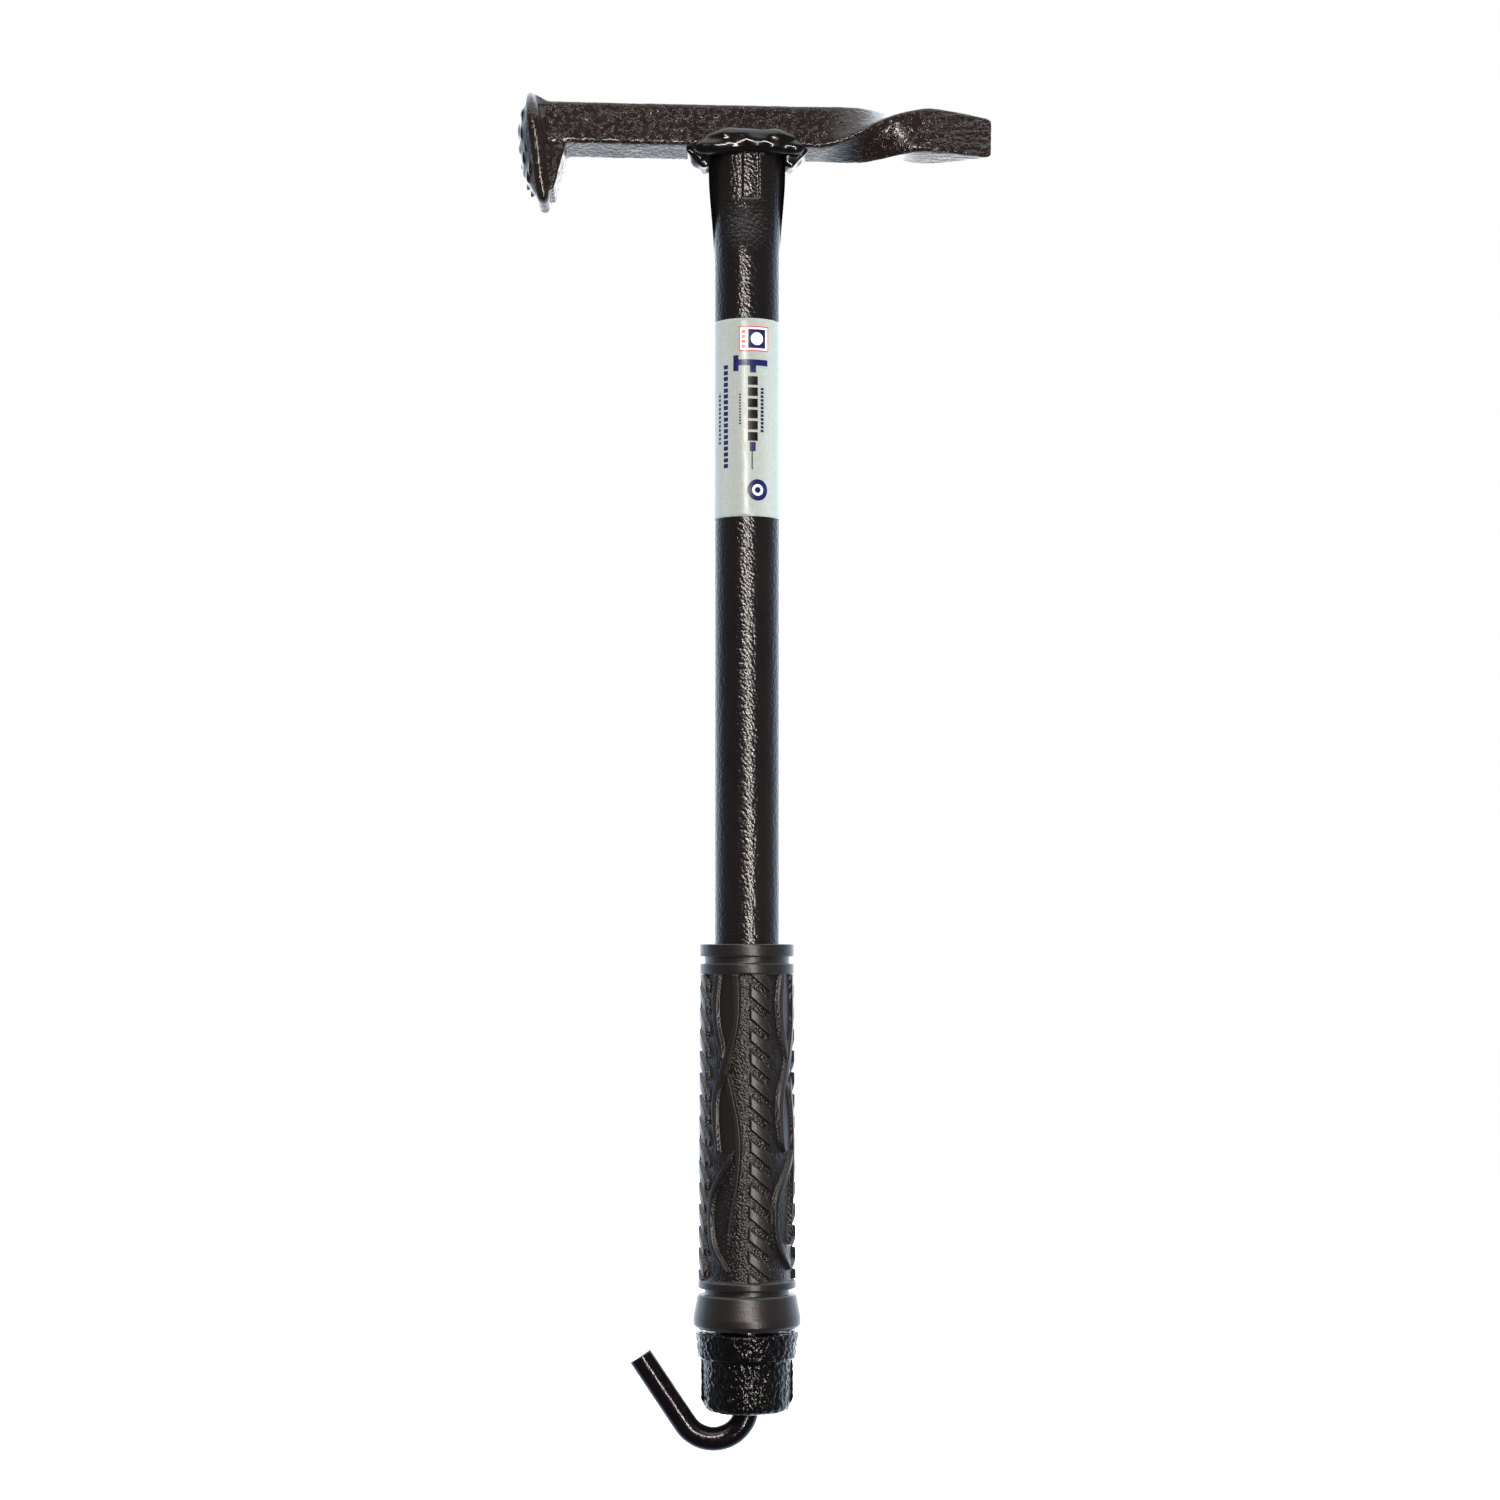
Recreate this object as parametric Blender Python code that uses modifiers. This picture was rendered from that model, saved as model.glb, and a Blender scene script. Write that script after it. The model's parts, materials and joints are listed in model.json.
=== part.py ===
"""A trailer hand's combination hammer.

A rail spike with a twisted shank is welded across a pipe handle. The handle carries a rubber grip and a
label, and a screwed iron cap closes its lower end. A hook rod runs up inside the handle, slides out through a
hole in the cap and turns freely. A friction bush at its inner end holds it where it is left, and the nut
below the bush stops it at the cap.

Frame: metres, +Z up the handle to the head, +X along the head to its chisel end, -Y the front of the hammer.
Origin: where the handle's axis leaves the head, on the flat top of its shank. Heights below are counted from
the cap's outer face, and the whole hammer hangs from an empty that lowers it to the origin.
"""

import math

import bmesh
import bpy
from mathutils import Matrix, Vector

MM = 0.001
TAU = 2 * math.pi
GAP = 0.3 * MM  # between pieces that touch, screw together or are welded on the real hammer

# Handle: half-inch steel pipe under a coat of paint, its top end squashed flat to meet the spike.
PIPE_R = 10.75 * MM
PIPE_BORE_R = 7.95 * MM
PIPE_FOOT_Z = 7.5 * MM
PIPE_TOP_Z = 416.0 * MM
SQUASH_FOOT_Z = 378.0 * MM
SQUASH_FULL_Z = 408.0 * MM
SQUASH_HALF_WIDTH = 12.6 * MM
PIPE_STEPS = 48

# Screwed joint between pipe and cap.
THREAD_PITCH = 1.814 * MM  # 14 turns to the inch
THREAD_DEPTH = 1.1 * MM
THREAD_HALF_FOOT = 0.36 * THREAD_PITCH  # half the width of the ridge where it leaves the wall
THREAD_SUNK = 0.4 * MM  # how far the ridge's foot reaches into the wall
THREAD_FOOT_Z = 8.6 * MM
THREAD_TURNS = 7
THREAD_STEPS = 24

# Head: a square rail spike lying along X. It leans and rolls a little, as it was welded by hand.
SPIKE_Z = 421.7 * MM
SPIKE_LEAN = math.radians(1.2)
SPIKE_ROLL = math.radians(-7.5)
SHANK_HALF = 7.1 * MM
SHANK_HEAD_X = -69.5 * MM
TWIST_START_X = 23.0 * MM
TWIST_END_X = 58.5 * MM
TWIST_ANGLE = math.radians(-87.0)
TWIST_NECK = 0.08  # share by which twisting has drawn the bar in at mid-twist
TWIST_CUTS = 12
CHISEL_START_X = 63.0 * MM
CHISEL_TIP_X = 80.6 * MM
CHISEL_TIP_HALF = 0.8 * MM
CHISEL_TIP_HEIGHT = 0.94  # share of the shank's height left at the tip
SHANK_EDGE = 0.7 * MM

# The spike's struck end, a domed plate that overhangs the shank most on its lower side.
PLATE_BACK_X = -67.7 * MM
PLATE_LEAN = math.radians(-8.4)
PLATE_THICKNESS = 3.7 * MM
PLATE_TOP = 12.0 * MM
PLATE_WIDEST = -2.0 * MM
PLATE_HALF_WIDTH = 13.6 * MM
PLATE_NOSE = -27.2 * MM
PLATE_NOSE_HALF = 6.9 * MM
PLATE_NOSE_CORNER = 1.5 * MM
DOME_HEIGHT = 4.8 * MM
GUSSET_SHANK_X = -59.2 * MM
GUSSET_FOOT = (-62.8 * MM, -23.0 * MM)
GUSSET_BURIED = 1.5 * MM  # overlap with the shank and the plate

# Weld beads round the joint between pipe and spike.
BEAD_Z = 414.6 * MM
BEAD_R = 3.5 * MM
FILLET_R = 5.8 * MM
BEAD_HALF_DEPTH = 7.6 * MM
BEAD_HALF_WIDTH = 13.8 * MM
BEAD_CORNER = math.radians(50)  # how far the long beads run round the rounded ends of the pipe

# Label wrapped round the pipe, its seam at the back.
LABEL_FOOT_Z = 293.8 * MM
LABEL_TOP_Z = 358.5 * MM
LABEL_THICKNESS = 0.16 * MM
LABEL_LIFT = 0.08 * MM
LABEL_SEAM = math.radians(6)

# Grip: a moulded rubber sleeve with a bead and a groove at each end and a conical skirt over the cap.
GRIP_BORE_R = PIPE_R + 0.2 * MM
GRIP_FOOT_Z = 27.6 * MM
GRIP_TOP_Z = 154.0 * MM
SKIRT_R = 17.8 * MM
SKIRT_TOP_R = 16.3 * MM
SKIRT_TOP_Z = 38.7 * MM
LOWER_GROOVE_TOP_Z = 40.8 * MM
LOWER_RING_TOP_Z = 43.3 * MM
UPPER_RING_FOOT_Z = 144.4 * MM
UPPER_RING_TOP_Z = 147.6 * MM
UPPER_GROOVE_TOP_Z = 150.0 * MM
LOWER_RING_R = 16.2 * MM
UPPER_RING_R = 15.5 * MM
GROOVE_R = 14.0 * MM
BODY_FOOT_R = 16.0 * MM
BODY_TOP_R = 15.4 * MM
RING_LIP = 0.5 * MM
SKIRT_LIP = 1.2 * MM

# End cap: a ribbed malleable-iron pipe cap, drilled for the rod.
CAP_HEIGHT = 26.4 * MM
CAP_FOOT_R = 14.3 * MM
CAP_BODY_R = 14.7 * MM
CAP_CORNER_R = 2.6 * MM
CAP_BAND_FOOT_Z = 17.8 * MM
CAP_BAND_FOOT_R = 16.2 * MM
CAP_BAND_TOP_R = 17.2 * MM
CAP_FLOOR_Z = 5.5 * MM
CAP_HOLE_R = 4.8 * MM
CAP_LIP = 0.6 * MM
RIB_REACH = 15.3 * MM
RIB_WIDTH = 3.2 * MM
RIB_FOOT_Z = 3.2 * MM
RIB_BURIED = 2.0 * MM  # overlap with the cap's body
RIB_EDGE = 0.6 * MM

# Hook rod: 5/16 inch bar, bent at its lower end.
ROD_R = 4.05 * MM
ROD_TOP_Z = 338.0 * MM
BEND_START_Z = 1.95 * MM
BEND_R = 11.1 * MM
BEND_ANGLE = math.radians(146.3)
BEND_CUTS = 18
LEG_LENGTH = 27.0 * MM
ROD_CHAMFER = 0.4 * MM

# Stack on the rod's inner end, from the stop nut up. Its pieces stand GAP / 2 apart.
STACK_FOOT_Z = 311.0 * MM
NUT_FLATS = 12.7 * MM
STOP_NUT_HEIGHT = 4.8 * MM
WASHER_R = 7.5 * MM
WASHER_THICKNESS = 1.6 * MM
BUSH_R = 7.8 * MM
BUSH_HEIGHT = 8.0 * MM
LOCK_NUT_HEIGHT = 6.2 * MM
COLLAR_HEIGHT = 2.2 * MM
COLLAR_R = 5.9 * MM
INSERT_R = 5.3 * MM
INSERT_HEIGHT = 1.4 * MM
WASHER_LIP = 0.25 * MM
COLLAR_LIP = 0.5 * MM
NUT_CHAMFER = math.radians(35)
STACK_BORE_R = ROD_R + GAP


def clear_scene():
    for obj in list(bpy.data.objects):
        bpy.data.objects.remove(obj)


def new_collection(name, shown=True):
    collection = bpy.data.collections.new(name)
    collection.hide_render = not shown
    bpy.context.scene.collection.children.link(collection)
    return collection


def new_finish(name, colour, roughness, metallic=0.0):
    finish = bpy.data.materials.new(name)
    finish.use_nodes = True
    shader = finish.node_tree.nodes["Principled BSDF"]
    shader.inputs["Base Color"].default_value = (*colour, 1.0)
    shader.inputs["Roughness"].default_value = roughness
    shader.inputs["Metallic"].default_value = metallic
    finish.diffuse_color = (*colour, 1.0)
    return finish


def add_object(name, mesh, place=None):
    obj = bpy.data.objects.new(name, mesh)
    parts.objects.link(obj)
    if place is not None:
        obj.matrix_world = place
    return obj


def add_bmesh(name, shape, place=None):
    mesh = bpy.data.meshes.new(name)
    bmesh.ops.recalc_face_normals(shape, faces=shape.faces[:])
    shape.to_mesh(mesh)
    shape.free()
    return add_object(name, mesh, place)


def bake(obj):
    """Replaces the object's modifiers with the mesh they make."""
    graph = bpy.context.evaluated_depsgraph_get()
    mesh = bpy.data.meshes.new_from_object(obj.evaluated_get(graph), depsgraph=graph)
    obj.modifiers.clear()
    obj.data = mesh
    return obj


def finish_piece(obj, finish, sharp_above=35):
    """Gives a finished piece its material and smooth shading with crisp edges."""
    bake(obj)
    obj.data.materials.clear()
    obj.data.materials.append(finish)
    obj.data.shade_smooth()
    obj.data.set_sharp_from_angle(angle=math.radians(sharp_above))
    return obj


def boolean(obj, other, operation):
    """Joins, cuts or trims obj with other, which becomes a hidden helper."""
    cutters.objects.link(other)
    parts.objects.unlink(other)
    other.hide_render = True
    other.display_type = "WIRE"
    step = obj.modifiers.new(operation.title(), "BOOLEAN")
    step.operation = operation
    step.object = other
    step.solver = "EXACT"
    return obj


def turned(name, outline, steps=PIPE_STEPS):
    """A solid turned about Z from a closed outline of (radius, height), its outer side first, downwards."""
    shape = bmesh.new()
    corners = [shape.verts.new((radius, 0, height)) for radius, height in outline]
    for corner, following in zip(corners, corners[1:] + corners[:1]):
        shape.edges.new((corner, following))
    mesh = bpy.data.meshes.new(name)
    shape.to_mesh(mesh)
    shape.free()
    obj = add_object(name, mesh)
    screw = obj.modifiers.new("Turn", "SCREW")
    screw.angle = TAU
    screw.steps = steps
    screw.render_steps = steps
    screw.use_merge_vertices = True
    screw.merge_threshold = 0.00001
    return bake(obj)


def arc(centre, radius, start, end, cuts):
    """Points (x, y) on a circle from angle start to angle end."""
    angles = [start + (end - start) * i / cuts for i in range(cuts + 1)]
    return [(centre[0] + radius * math.cos(a), centre[1] + radius * math.sin(a)) for a in angles]


def sleeve_outline(outer, bore_r):
    """Closes an outer outline, which runs down, with a plain bore."""
    return outer + [(bore_r, outer[-1][1]), (bore_r, outer[0][1])]


def swept(name, points, radius, profile=None, resolution=6):
    """A rod with flat ends along a line of points. A closed profile curve replaces the round section."""
    curve = bpy.data.curves.new(name, "CURVE")
    curve.dimensions = "3D"
    curve.use_fill_caps = True
    if profile is None:
        curve.bevel_depth = radius
        curve.bevel_resolution = resolution
    else:
        curve.bevel_mode = "OBJECT"
        curve.bevel_object = profile
        curve.twist_mode = "Z_UP"
    line = curve.splines.new("POLY")
    line.points.add(len(points) - 1)
    for point, place in zip(line.points, points):
        point.co = (*place, 1.0)
    holder = add_object(name + "_path", curve)
    graph = bpy.context.evaluated_depsgraph_get()
    mesh = bpy.data.meshes.new_from_object(holder.evaluated_get(graph), depsgraph=graph)
    bpy.data.objects.remove(holder)
    shape = bmesh.new()
    shape.from_mesh(mesh)
    bmesh.ops.remove_doubles(shape, verts=shape.verts[:], dist=0.00001)
    return add_bmesh(name, shape)


def smoothstep(value, start, end):
    share = min(1.0, max(0.0, (value - start) / (end - start)))
    return share * share * (3 - 2 * share)


def cylinder(name, radius, foot, top, segments=PIPE_STEPS):
    shape = bmesh.new()
    bmesh.ops.create_cone(
        shape, cap_ends=True, segments=segments, radius1=radius, radius2=radius, depth=top - foot
    )
    bmesh.ops.translate(shape, verts=shape.verts[:], vec=(0, 0, (foot + top) / 2))
    return add_bmesh(name, shape)


def box(name, low, high, place=None):
    shape = bmesh.new()
    bmesh.ops.create_cube(shape, size=1.0)
    low, high = Vector(low), Vector(high)
    for vert in shape.verts:
        vert.co = (low + high) / 2 + Vector(a * b for a, b in zip(vert.co, high - low))
    return add_bmesh(name, shape, place)


def flat_plate(name, outline, thickness, place=None):
    """A plate with the outline in its local YZ plane, its thickness along -X from that plane."""
    shape = bmesh.new()
    face = shape.faces.new([shape.verts.new((0, y, z)) for y, z in outline])
    pushed = bmesh.ops.extrude_face_region(shape, geom=[face])
    moved = [item for item in pushed["geom"] if isinstance(item, bmesh.types.BMVert)]
    bmesh.ops.translate(shape, verts=moved, vec=(-thickness, 0, 0))
    return add_bmesh(name, shape, place)


# ---------------------------------------------------------------- head


def spike_frame():
    """The spike's own frame: X along its shank, tilted as it sits on the handle."""
    lean = Matrix.Rotation(SPIKE_LEAN, 4, "Y")
    roll = Matrix.Rotation(SPIKE_ROLL, 4, "X")
    return Matrix.Translation((0, 0, SPIKE_Z)) @ lean @ roll


def head_top_height():
    """Height above the cap's outer face at which the handle's axis leaves the top of the shank."""
    place = spike_frame()
    on_top = place @ Vector((0, 0, SHANK_HALF))
    normal = place.to_3x3() @ Vector((0, 0, 1))
    return on_top.z + (normal.x * on_top.x + normal.y * on_top.y) / normal.z


def shank():
    """The square bar, twisted a quarter turn beyond the handle and drawn down to a chisel edge."""
    shape = bmesh.new()
    bmesh.ops.create_cube(shape, size=1.0)
    length = CHISEL_TIP_X - SHANK_HEAD_X
    for vert in shape.verts:
        along = SHANK_HEAD_X + (vert.co.x + 0.5) * length
        vert.co = (along, vert.co.y * 2 * SHANK_HALF, vert.co.z * 2 * SHANK_HALF)
    twist_length = TWIST_END_X - TWIST_START_X
    stations = [TWIST_START_X + twist_length * i / TWIST_CUTS for i in range(TWIST_CUTS + 1)]
    for station in stations + [CHISEL_START_X]:
        everything = shape.verts[:] + shape.edges[:] + shape.faces[:]
        bmesh.ops.bisect_plane(shape, geom=everything, plane_co=(station, 0, 0), plane_no=(1, 0, 0))
    for vert in shape.verts:
        turned_share = smoothstep(vert.co.x, TWIST_START_X, TWIST_END_X)
        vert.co = Matrix.Rotation(TWIST_ANGLE * turned_share, 3, "X") @ vert.co
        drawn_in = 1 - TWIST_NECK * 4 * turned_share * (1 - turned_share)
        vert.co.y *= drawn_in
        vert.co.z *= drawn_in
        drawn = max(0.0, (vert.co.x - CHISEL_START_X) / (CHISEL_TIP_X - CHISEL_START_X))
        vert.co.y *= 1 - drawn * (1 - CHISEL_TIP_HALF / SHANK_HALF)
        vert.co.z *= 1 - drawn * (1 - CHISEL_TIP_HEIGHT)
    bar = add_bmesh("spike_head", shape, spike_frame())
    bevel = bar.modifiers.new("Rolled edges", "BEVEL")
    bevel.width = SHANK_EDGE
    bevel.segments = 2
    bevel.limit_method = "ANGLE"
    bevel.angle_limit = math.radians(50)
    return bake(bar)


def plate_outline():
    """Half-oval above, sides drawing in below to a blunt nose."""
    cuts = 7
    rise = PLATE_TOP - PLATE_WIDEST
    quarter = [math.pi / 2 * i / cuts for i in range(cuts)]
    side = [(PLATE_HALF_WIDTH * math.cos(a), PLATE_WIDEST + rise * math.sin(a)) for a in quarter]
    corner = PLATE_NOSE_CORNER
    nose = [(PLATE_NOSE_HALF - corner, PLATE_NOSE), (PLATE_NOSE_HALF, PLATE_NOSE + corner)]
    right = nose + side
    left = [(-y, z) for y, z in reversed(right)]
    return right + [(0.0, PLATE_TOP)] + left


def struck_plate(place):
    """The spike's head: a plate whose struck face is raised into a dome ring by ring."""
    rings = 4
    plate = flat_plate("struck_plate", plate_outline(), PLATE_THICKNESS, place)
    shape = bmesh.new()
    shape.from_mesh(plate.data)
    face = min(shape.faces, key=lambda each: each.calc_center_median().x)
    centre = Vector((0, 0, (PLATE_TOP + PLATE_NOSE) / 2))
    outer = [(vert.co.y, vert.co.z) for vert in face.verts]
    for ring in range(1, rings + 1):
        angle = math.pi / 2 * ring / (rings + 1)
        face = bmesh.ops.extrude_discrete_faces(shape, faces=[face])["faces"][0]
        depth = -PLATE_THICKNESS - DOME_HEIGHT * math.sin(angle)
        for vert, (y, z) in zip(face.verts, outer):
            spread = Vector((0, y, z)) - centre
            vert.co = centre + spread * math.cos(angle)
            vert.co.x = depth
    bmesh.ops.recalc_face_normals(shape, faces=shape.faces[:])
    shape.to_mesh(plate.data)
    shape.free()
    return plate


def gusset(place):
    """The web that carries the overhanging nose of the head."""
    half = SHANK_HALF - GAP
    foot_x, foot_z = GUSSET_FOOT
    corners = [
        (GUSSET_SHANK_X, -SHANK_HALF + GUSSET_BURIED),
        (GUSSET_SHANK_X, -SHANK_HALF),
        (foot_x, foot_z),
        (PLATE_BACK_X - GUSSET_BURIED, foot_z),
        (PLATE_BACK_X - GUSSET_BURIED, -SHANK_HALF + GUSSET_BURIED),
    ]
    shape = bmesh.new()
    face = shape.faces.new([shape.verts.new((x, -half, z)) for x, z in corners])
    pushed = bmesh.ops.extrude_face_region(shape, geom=[face])
    moved = [item for item in pushed["geom"] if isinstance(item, bmesh.types.BMVert)]
    bmesh.ops.translate(shape, verts=moved, vec=(0, 2 * half, 0))
    return add_bmesh("gusset", shape, place)


def make_spike(finish):
    place = spike_frame()
    spike = shank()
    plate_place = place @ Matrix.Translation((PLATE_BACK_X, 0, 0)) @ Matrix.Rotation(PLATE_LEAN, 4, "Y")
    boolean(spike, struck_plate(plate_place), "UNION")
    boolean(spike, gusset(place), "UNION")
    return finish_piece(spike, finish)


# ---------------------------------------------------------------- handle


def obround_point(share, half_width, radius):
    """Point and outward normal at a share of the way round a stadium that is long in X, starting at +X."""
    flat = half_width - radius
    perimeter = 4 * flat + TAU * radius
    travelled = (share % 1.0) * perimeter
    quarter = radius * math.pi / 2
    if travelled <= quarter:
        angle, shift = travelled / radius, flat
    elif travelled <= quarter + 2 * flat:
        angle, shift = math.pi / 2, flat - (travelled - quarter)
    elif travelled <= 3 * quarter + 2 * flat:
        angle, shift = math.pi / 2 + (travelled - quarter - 2 * flat) / radius, -flat
    elif travelled <= 3 * quarter + 4 * flat:
        angle, shift = 1.5 * math.pi, -flat + (travelled - 3 * quarter - 2 * flat)
    else:
        angle, shift = 1.5 * math.pi + (travelled - 3 * quarter - 4 * flat) / radius, flat
    normal = Vector((math.cos(angle), math.sin(angle), 0))
    return Vector((shift, 0, 0)) + normal * radius, normal


def squash(obj):
    """Presses the top of a pipe flat: its round section turns obround, and its mid-wall keeps its length."""
    middle_r = (PIPE_R + PIPE_BORE_R) / 2
    half_width = SQUASH_HALF_WIDTH - (PIPE_R - middle_r)
    end_r = (TAU * middle_r - 4 * half_width) / (TAU - 4)
    for vert in obj.data.vertices:
        x, y, z = vert.co
        pressed = smoothstep(z, SQUASH_FOOT_Z, SQUASH_FULL_Z)
        if pressed == 0 or math.hypot(x, y) < PIPE_BORE_R / 2:
            continue
        middle, normal = obround_point(math.atan2(y, x) / TAU, half_width, end_r)
        flat = middle + normal * (math.hypot(x, y) - middle_r)
        vert.co = Vector((x, y, z)).lerp(Vector((flat.x, flat.y, z)), pressed)
    return obj


def pipe_levels():
    """Heights at which the pipe's wall needs a ring of points so that it can be squashed."""
    cuts = 7
    bend = [SQUASH_FOOT_Z + (SQUASH_FULL_Z - SQUASH_FOOT_Z) * i / cuts for i in range(cuts + 1)]
    return [PIPE_TOP_Z] + bend[::-1] + [PIPE_FOOT_Z]


def thread_helix(radius):
    """Points up the pipe's screw thread."""
    count = THREAD_TURNS * THREAD_STEPS
    angles = [TAU * i / THREAD_STEPS for i in range(count + 1)]
    foot = THREAD_FOOT_Z + THREAD_PITCH / 2
    return [
        (radius * math.cos(a), radius * math.sin(a), foot + THREAD_PITCH * a / TAU) for a in angles
    ]


def thread_ridge(name, crest_r, root_r, half_foot):
    """A screw thread's ridge with a tapered section. It is sunk a little into the wall that carries it."""
    section = bpy.data.curves.new(name + "_section", "CURVE")
    section.dimensions = "2D"
    line = section.splines.new("POLY")
    half_crest = half_foot / 4
    corners = [
        (root_r - THREAD_SUNK, -half_foot),
        (crest_r, -half_crest),
        (crest_r, half_crest),
        (root_r - THREAD_SUNK, half_foot),
    ]
    line.points.add(len(corners) - 1)
    for point, (out, up) in zip(line.points, corners):
        point.co = (-(out - root_r), up, 0, 1)
    line.use_cyclic_u = True
    holder = add_object(name + "_section", section)
    ridge = swept(name, thread_helix(root_r), None, profile=holder)
    bpy.data.objects.remove(holder)
    return ridge


def shank_cutter(name):
    """The spike's shank near the joint, a gap larger all round than the real one."""
    half = SHANK_HALF + GAP
    long = 3 * BEAD_HALF_WIDTH
    return box(name, (-long, -half, -half), (long, half, half), spike_frame())


def make_pipe(finish):
    thread_root_r = PIPE_R - THREAD_DEPTH
    thread_top_z = THREAD_FOOT_Z + (THREAD_TURNS + 1) * THREAD_PITCH
    levels = pipe_levels()
    outer = [(PIPE_R, z) for z in levels[:-1]]
    outer += [(PIPE_R, thread_top_z + THREAD_DEPTH), (thread_root_r, thread_top_z)]
    outer.append((thread_root_r, PIPE_FOOT_Z))
    bore = [(PIPE_BORE_R, z) for z in reversed(levels)]
    pipe = squash(turned("handle_pipe", outer + bore))
    ridge = thread_ridge("pipe_thread", PIPE_R - GAP, thread_root_r, THREAD_HALF_FOOT)
    boolean(pipe, ridge, "UNION")
    boolean(pipe, shank_cutter("pipe_trim"), "DIFFERENCE")
    return finish_piece(pipe, finish)


def weld_path(start, end, cuts):
    """Points round the joint between pipe and spike, from angle start to end of a stadium seen from above."""
    end_r = BEAD_HALF_DEPTH
    flat = BEAD_HALF_WIDTH - end_r
    points = []
    for i in range(cuts + 1):
        angle = start + (end - start) * i / cuts
        shift = flat if math.cos(angle) > 1e-9 else -flat
        points.append((shift + end_r * math.cos(angle), end_r * math.sin(angle), BEAD_Z))
    return points


def weld_plug(name):
    """The pipe's squashed end without its bore, a gap larger all round than the real one."""
    levels = [PIPE_TOP_Z + GAP] + pipe_levels()[1:-1]
    outline = [(PIPE_R + GAP, z) for z in levels]
    return squash(turned(name, outline + [(0.0, levels[-1]), (0.0, levels[0])]))


def make_bead(name, start, end, radius, finish):
    """One run of weld metal, laid into the corner between the pipe and the spike."""
    cuts = 6
    bead = swept(name, weld_path(start, end, cuts), radius, resolution=3)
    boolean(bead, shank_cutter(name + "_shank"), "DIFFERENCE")
    boolean(bead, weld_plug(name + "_plug"), "DIFFERENCE")
    return finish_piece(bead, finish)


def make_beads(finish):
    """Two long beads, at front and rear, and two short ones under the shank at the pipe's rounded ends."""
    quarter = math.pi / 2
    joint = GAP / BEAD_HALF_DEPTH
    corner = BEAD_CORNER
    make_bead("weld_bead_front", -quarter - corner, -quarter + corner, BEAD_R, finish)
    make_bead("weld_bead_rear", quarter - corner, quarter + corner, BEAD_R, finish)
    make_bead("weld_bead_right", -quarter + corner + joint, quarter - corner - joint, FILLET_R, finish)
    make_bead("weld_bead_left", quarter + corner + joint, 3 * quarter - corner - joint, FILLET_R, finish)


def make_label(finish):
    shape = bmesh.new()
    radius = PIPE_R + LABEL_LIFT
    low = shape.verts.new((0, radius, LABEL_FOOT_Z))
    high = shape.verts.new((0, radius, LABEL_TOP_Z))
    shape.edges.new((high, low))
    mesh = bpy.data.meshes.new("label_wrap")
    shape.to_mesh(mesh)
    shape.free()
    label = add_object("label_wrap", mesh, Matrix.Rotation(LABEL_SEAM / 2, 4, "Z"))
    screw = label.modifiers.new("Wrap", "SCREW")
    screw.angle = TAU - LABEL_SEAM
    screw.steps = PIPE_STEPS
    screw.render_steps = PIPE_STEPS
    wall = label.modifiers.new("Film", "SOLIDIFY")
    wall.thickness = LABEL_THICKNESS
    wall.offset = 1.0
    return finish_piece(label, finish)


def grip_profile():
    """The grip's outer side, from its top flange down to the skirt over the cap."""
    return [
        (UPPER_RING_R - RING_LIP, GRIP_TOP_Z),
        (UPPER_RING_R, GRIP_TOP_Z - RING_LIP),
        (UPPER_RING_R, UPPER_GROOVE_TOP_Z),
        (GROOVE_R, UPPER_GROOVE_TOP_Z),
        (GROOVE_R, UPPER_RING_TOP_Z),
        (UPPER_RING_R, UPPER_RING_TOP_Z),
        (BODY_TOP_R, UPPER_RING_FOOT_Z),
        (BODY_FOOT_R, LOWER_RING_TOP_Z),
        (LOWER_RING_R, LOWER_GROOVE_TOP_Z),
        (GROOVE_R, LOWER_GROOVE_TOP_Z),
        (GROOVE_R, SKIRT_TOP_Z),
        (SKIRT_TOP_R, SKIRT_TOP_Z),
        (SKIRT_R, GRIP_FOOT_Z + 3 * SKIRT_LIP),
        (SKIRT_R, GRIP_FOOT_Z + SKIRT_LIP),
        (SKIRT_R - SKIRT_LIP, GRIP_FOOT_Z),
    ]


def make_grip(finish):
    return finish_piece(turned("grip_sleeve", sleeve_outline(grip_profile(), GRIP_BORE_R)), finish)


# ---------------------------------------------------------------- end cap


def cap_ribs():
    """Two low ribs on opposite sides of the cap, for a wrench."""
    for name, turn in (("rib_left", math.pi), ("rib_right", 0.0)):
        low = (CAP_FOOT_R - RIB_BURIED, -RIB_WIDTH / 2, RIB_FOOT_Z)
        high = (RIB_REACH, RIB_WIDTH / 2, CAP_BAND_FOOT_Z + RIB_BURIED / 2)
        rib = box(name, low, high, Matrix.Rotation(turn, 4, "Z"))
        bevel = rib.modifiers.new("Cast edges", "BEVEL")
        bevel.width = RIB_EDGE
        bevel.segments = 1
        yield bake(rib)


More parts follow.
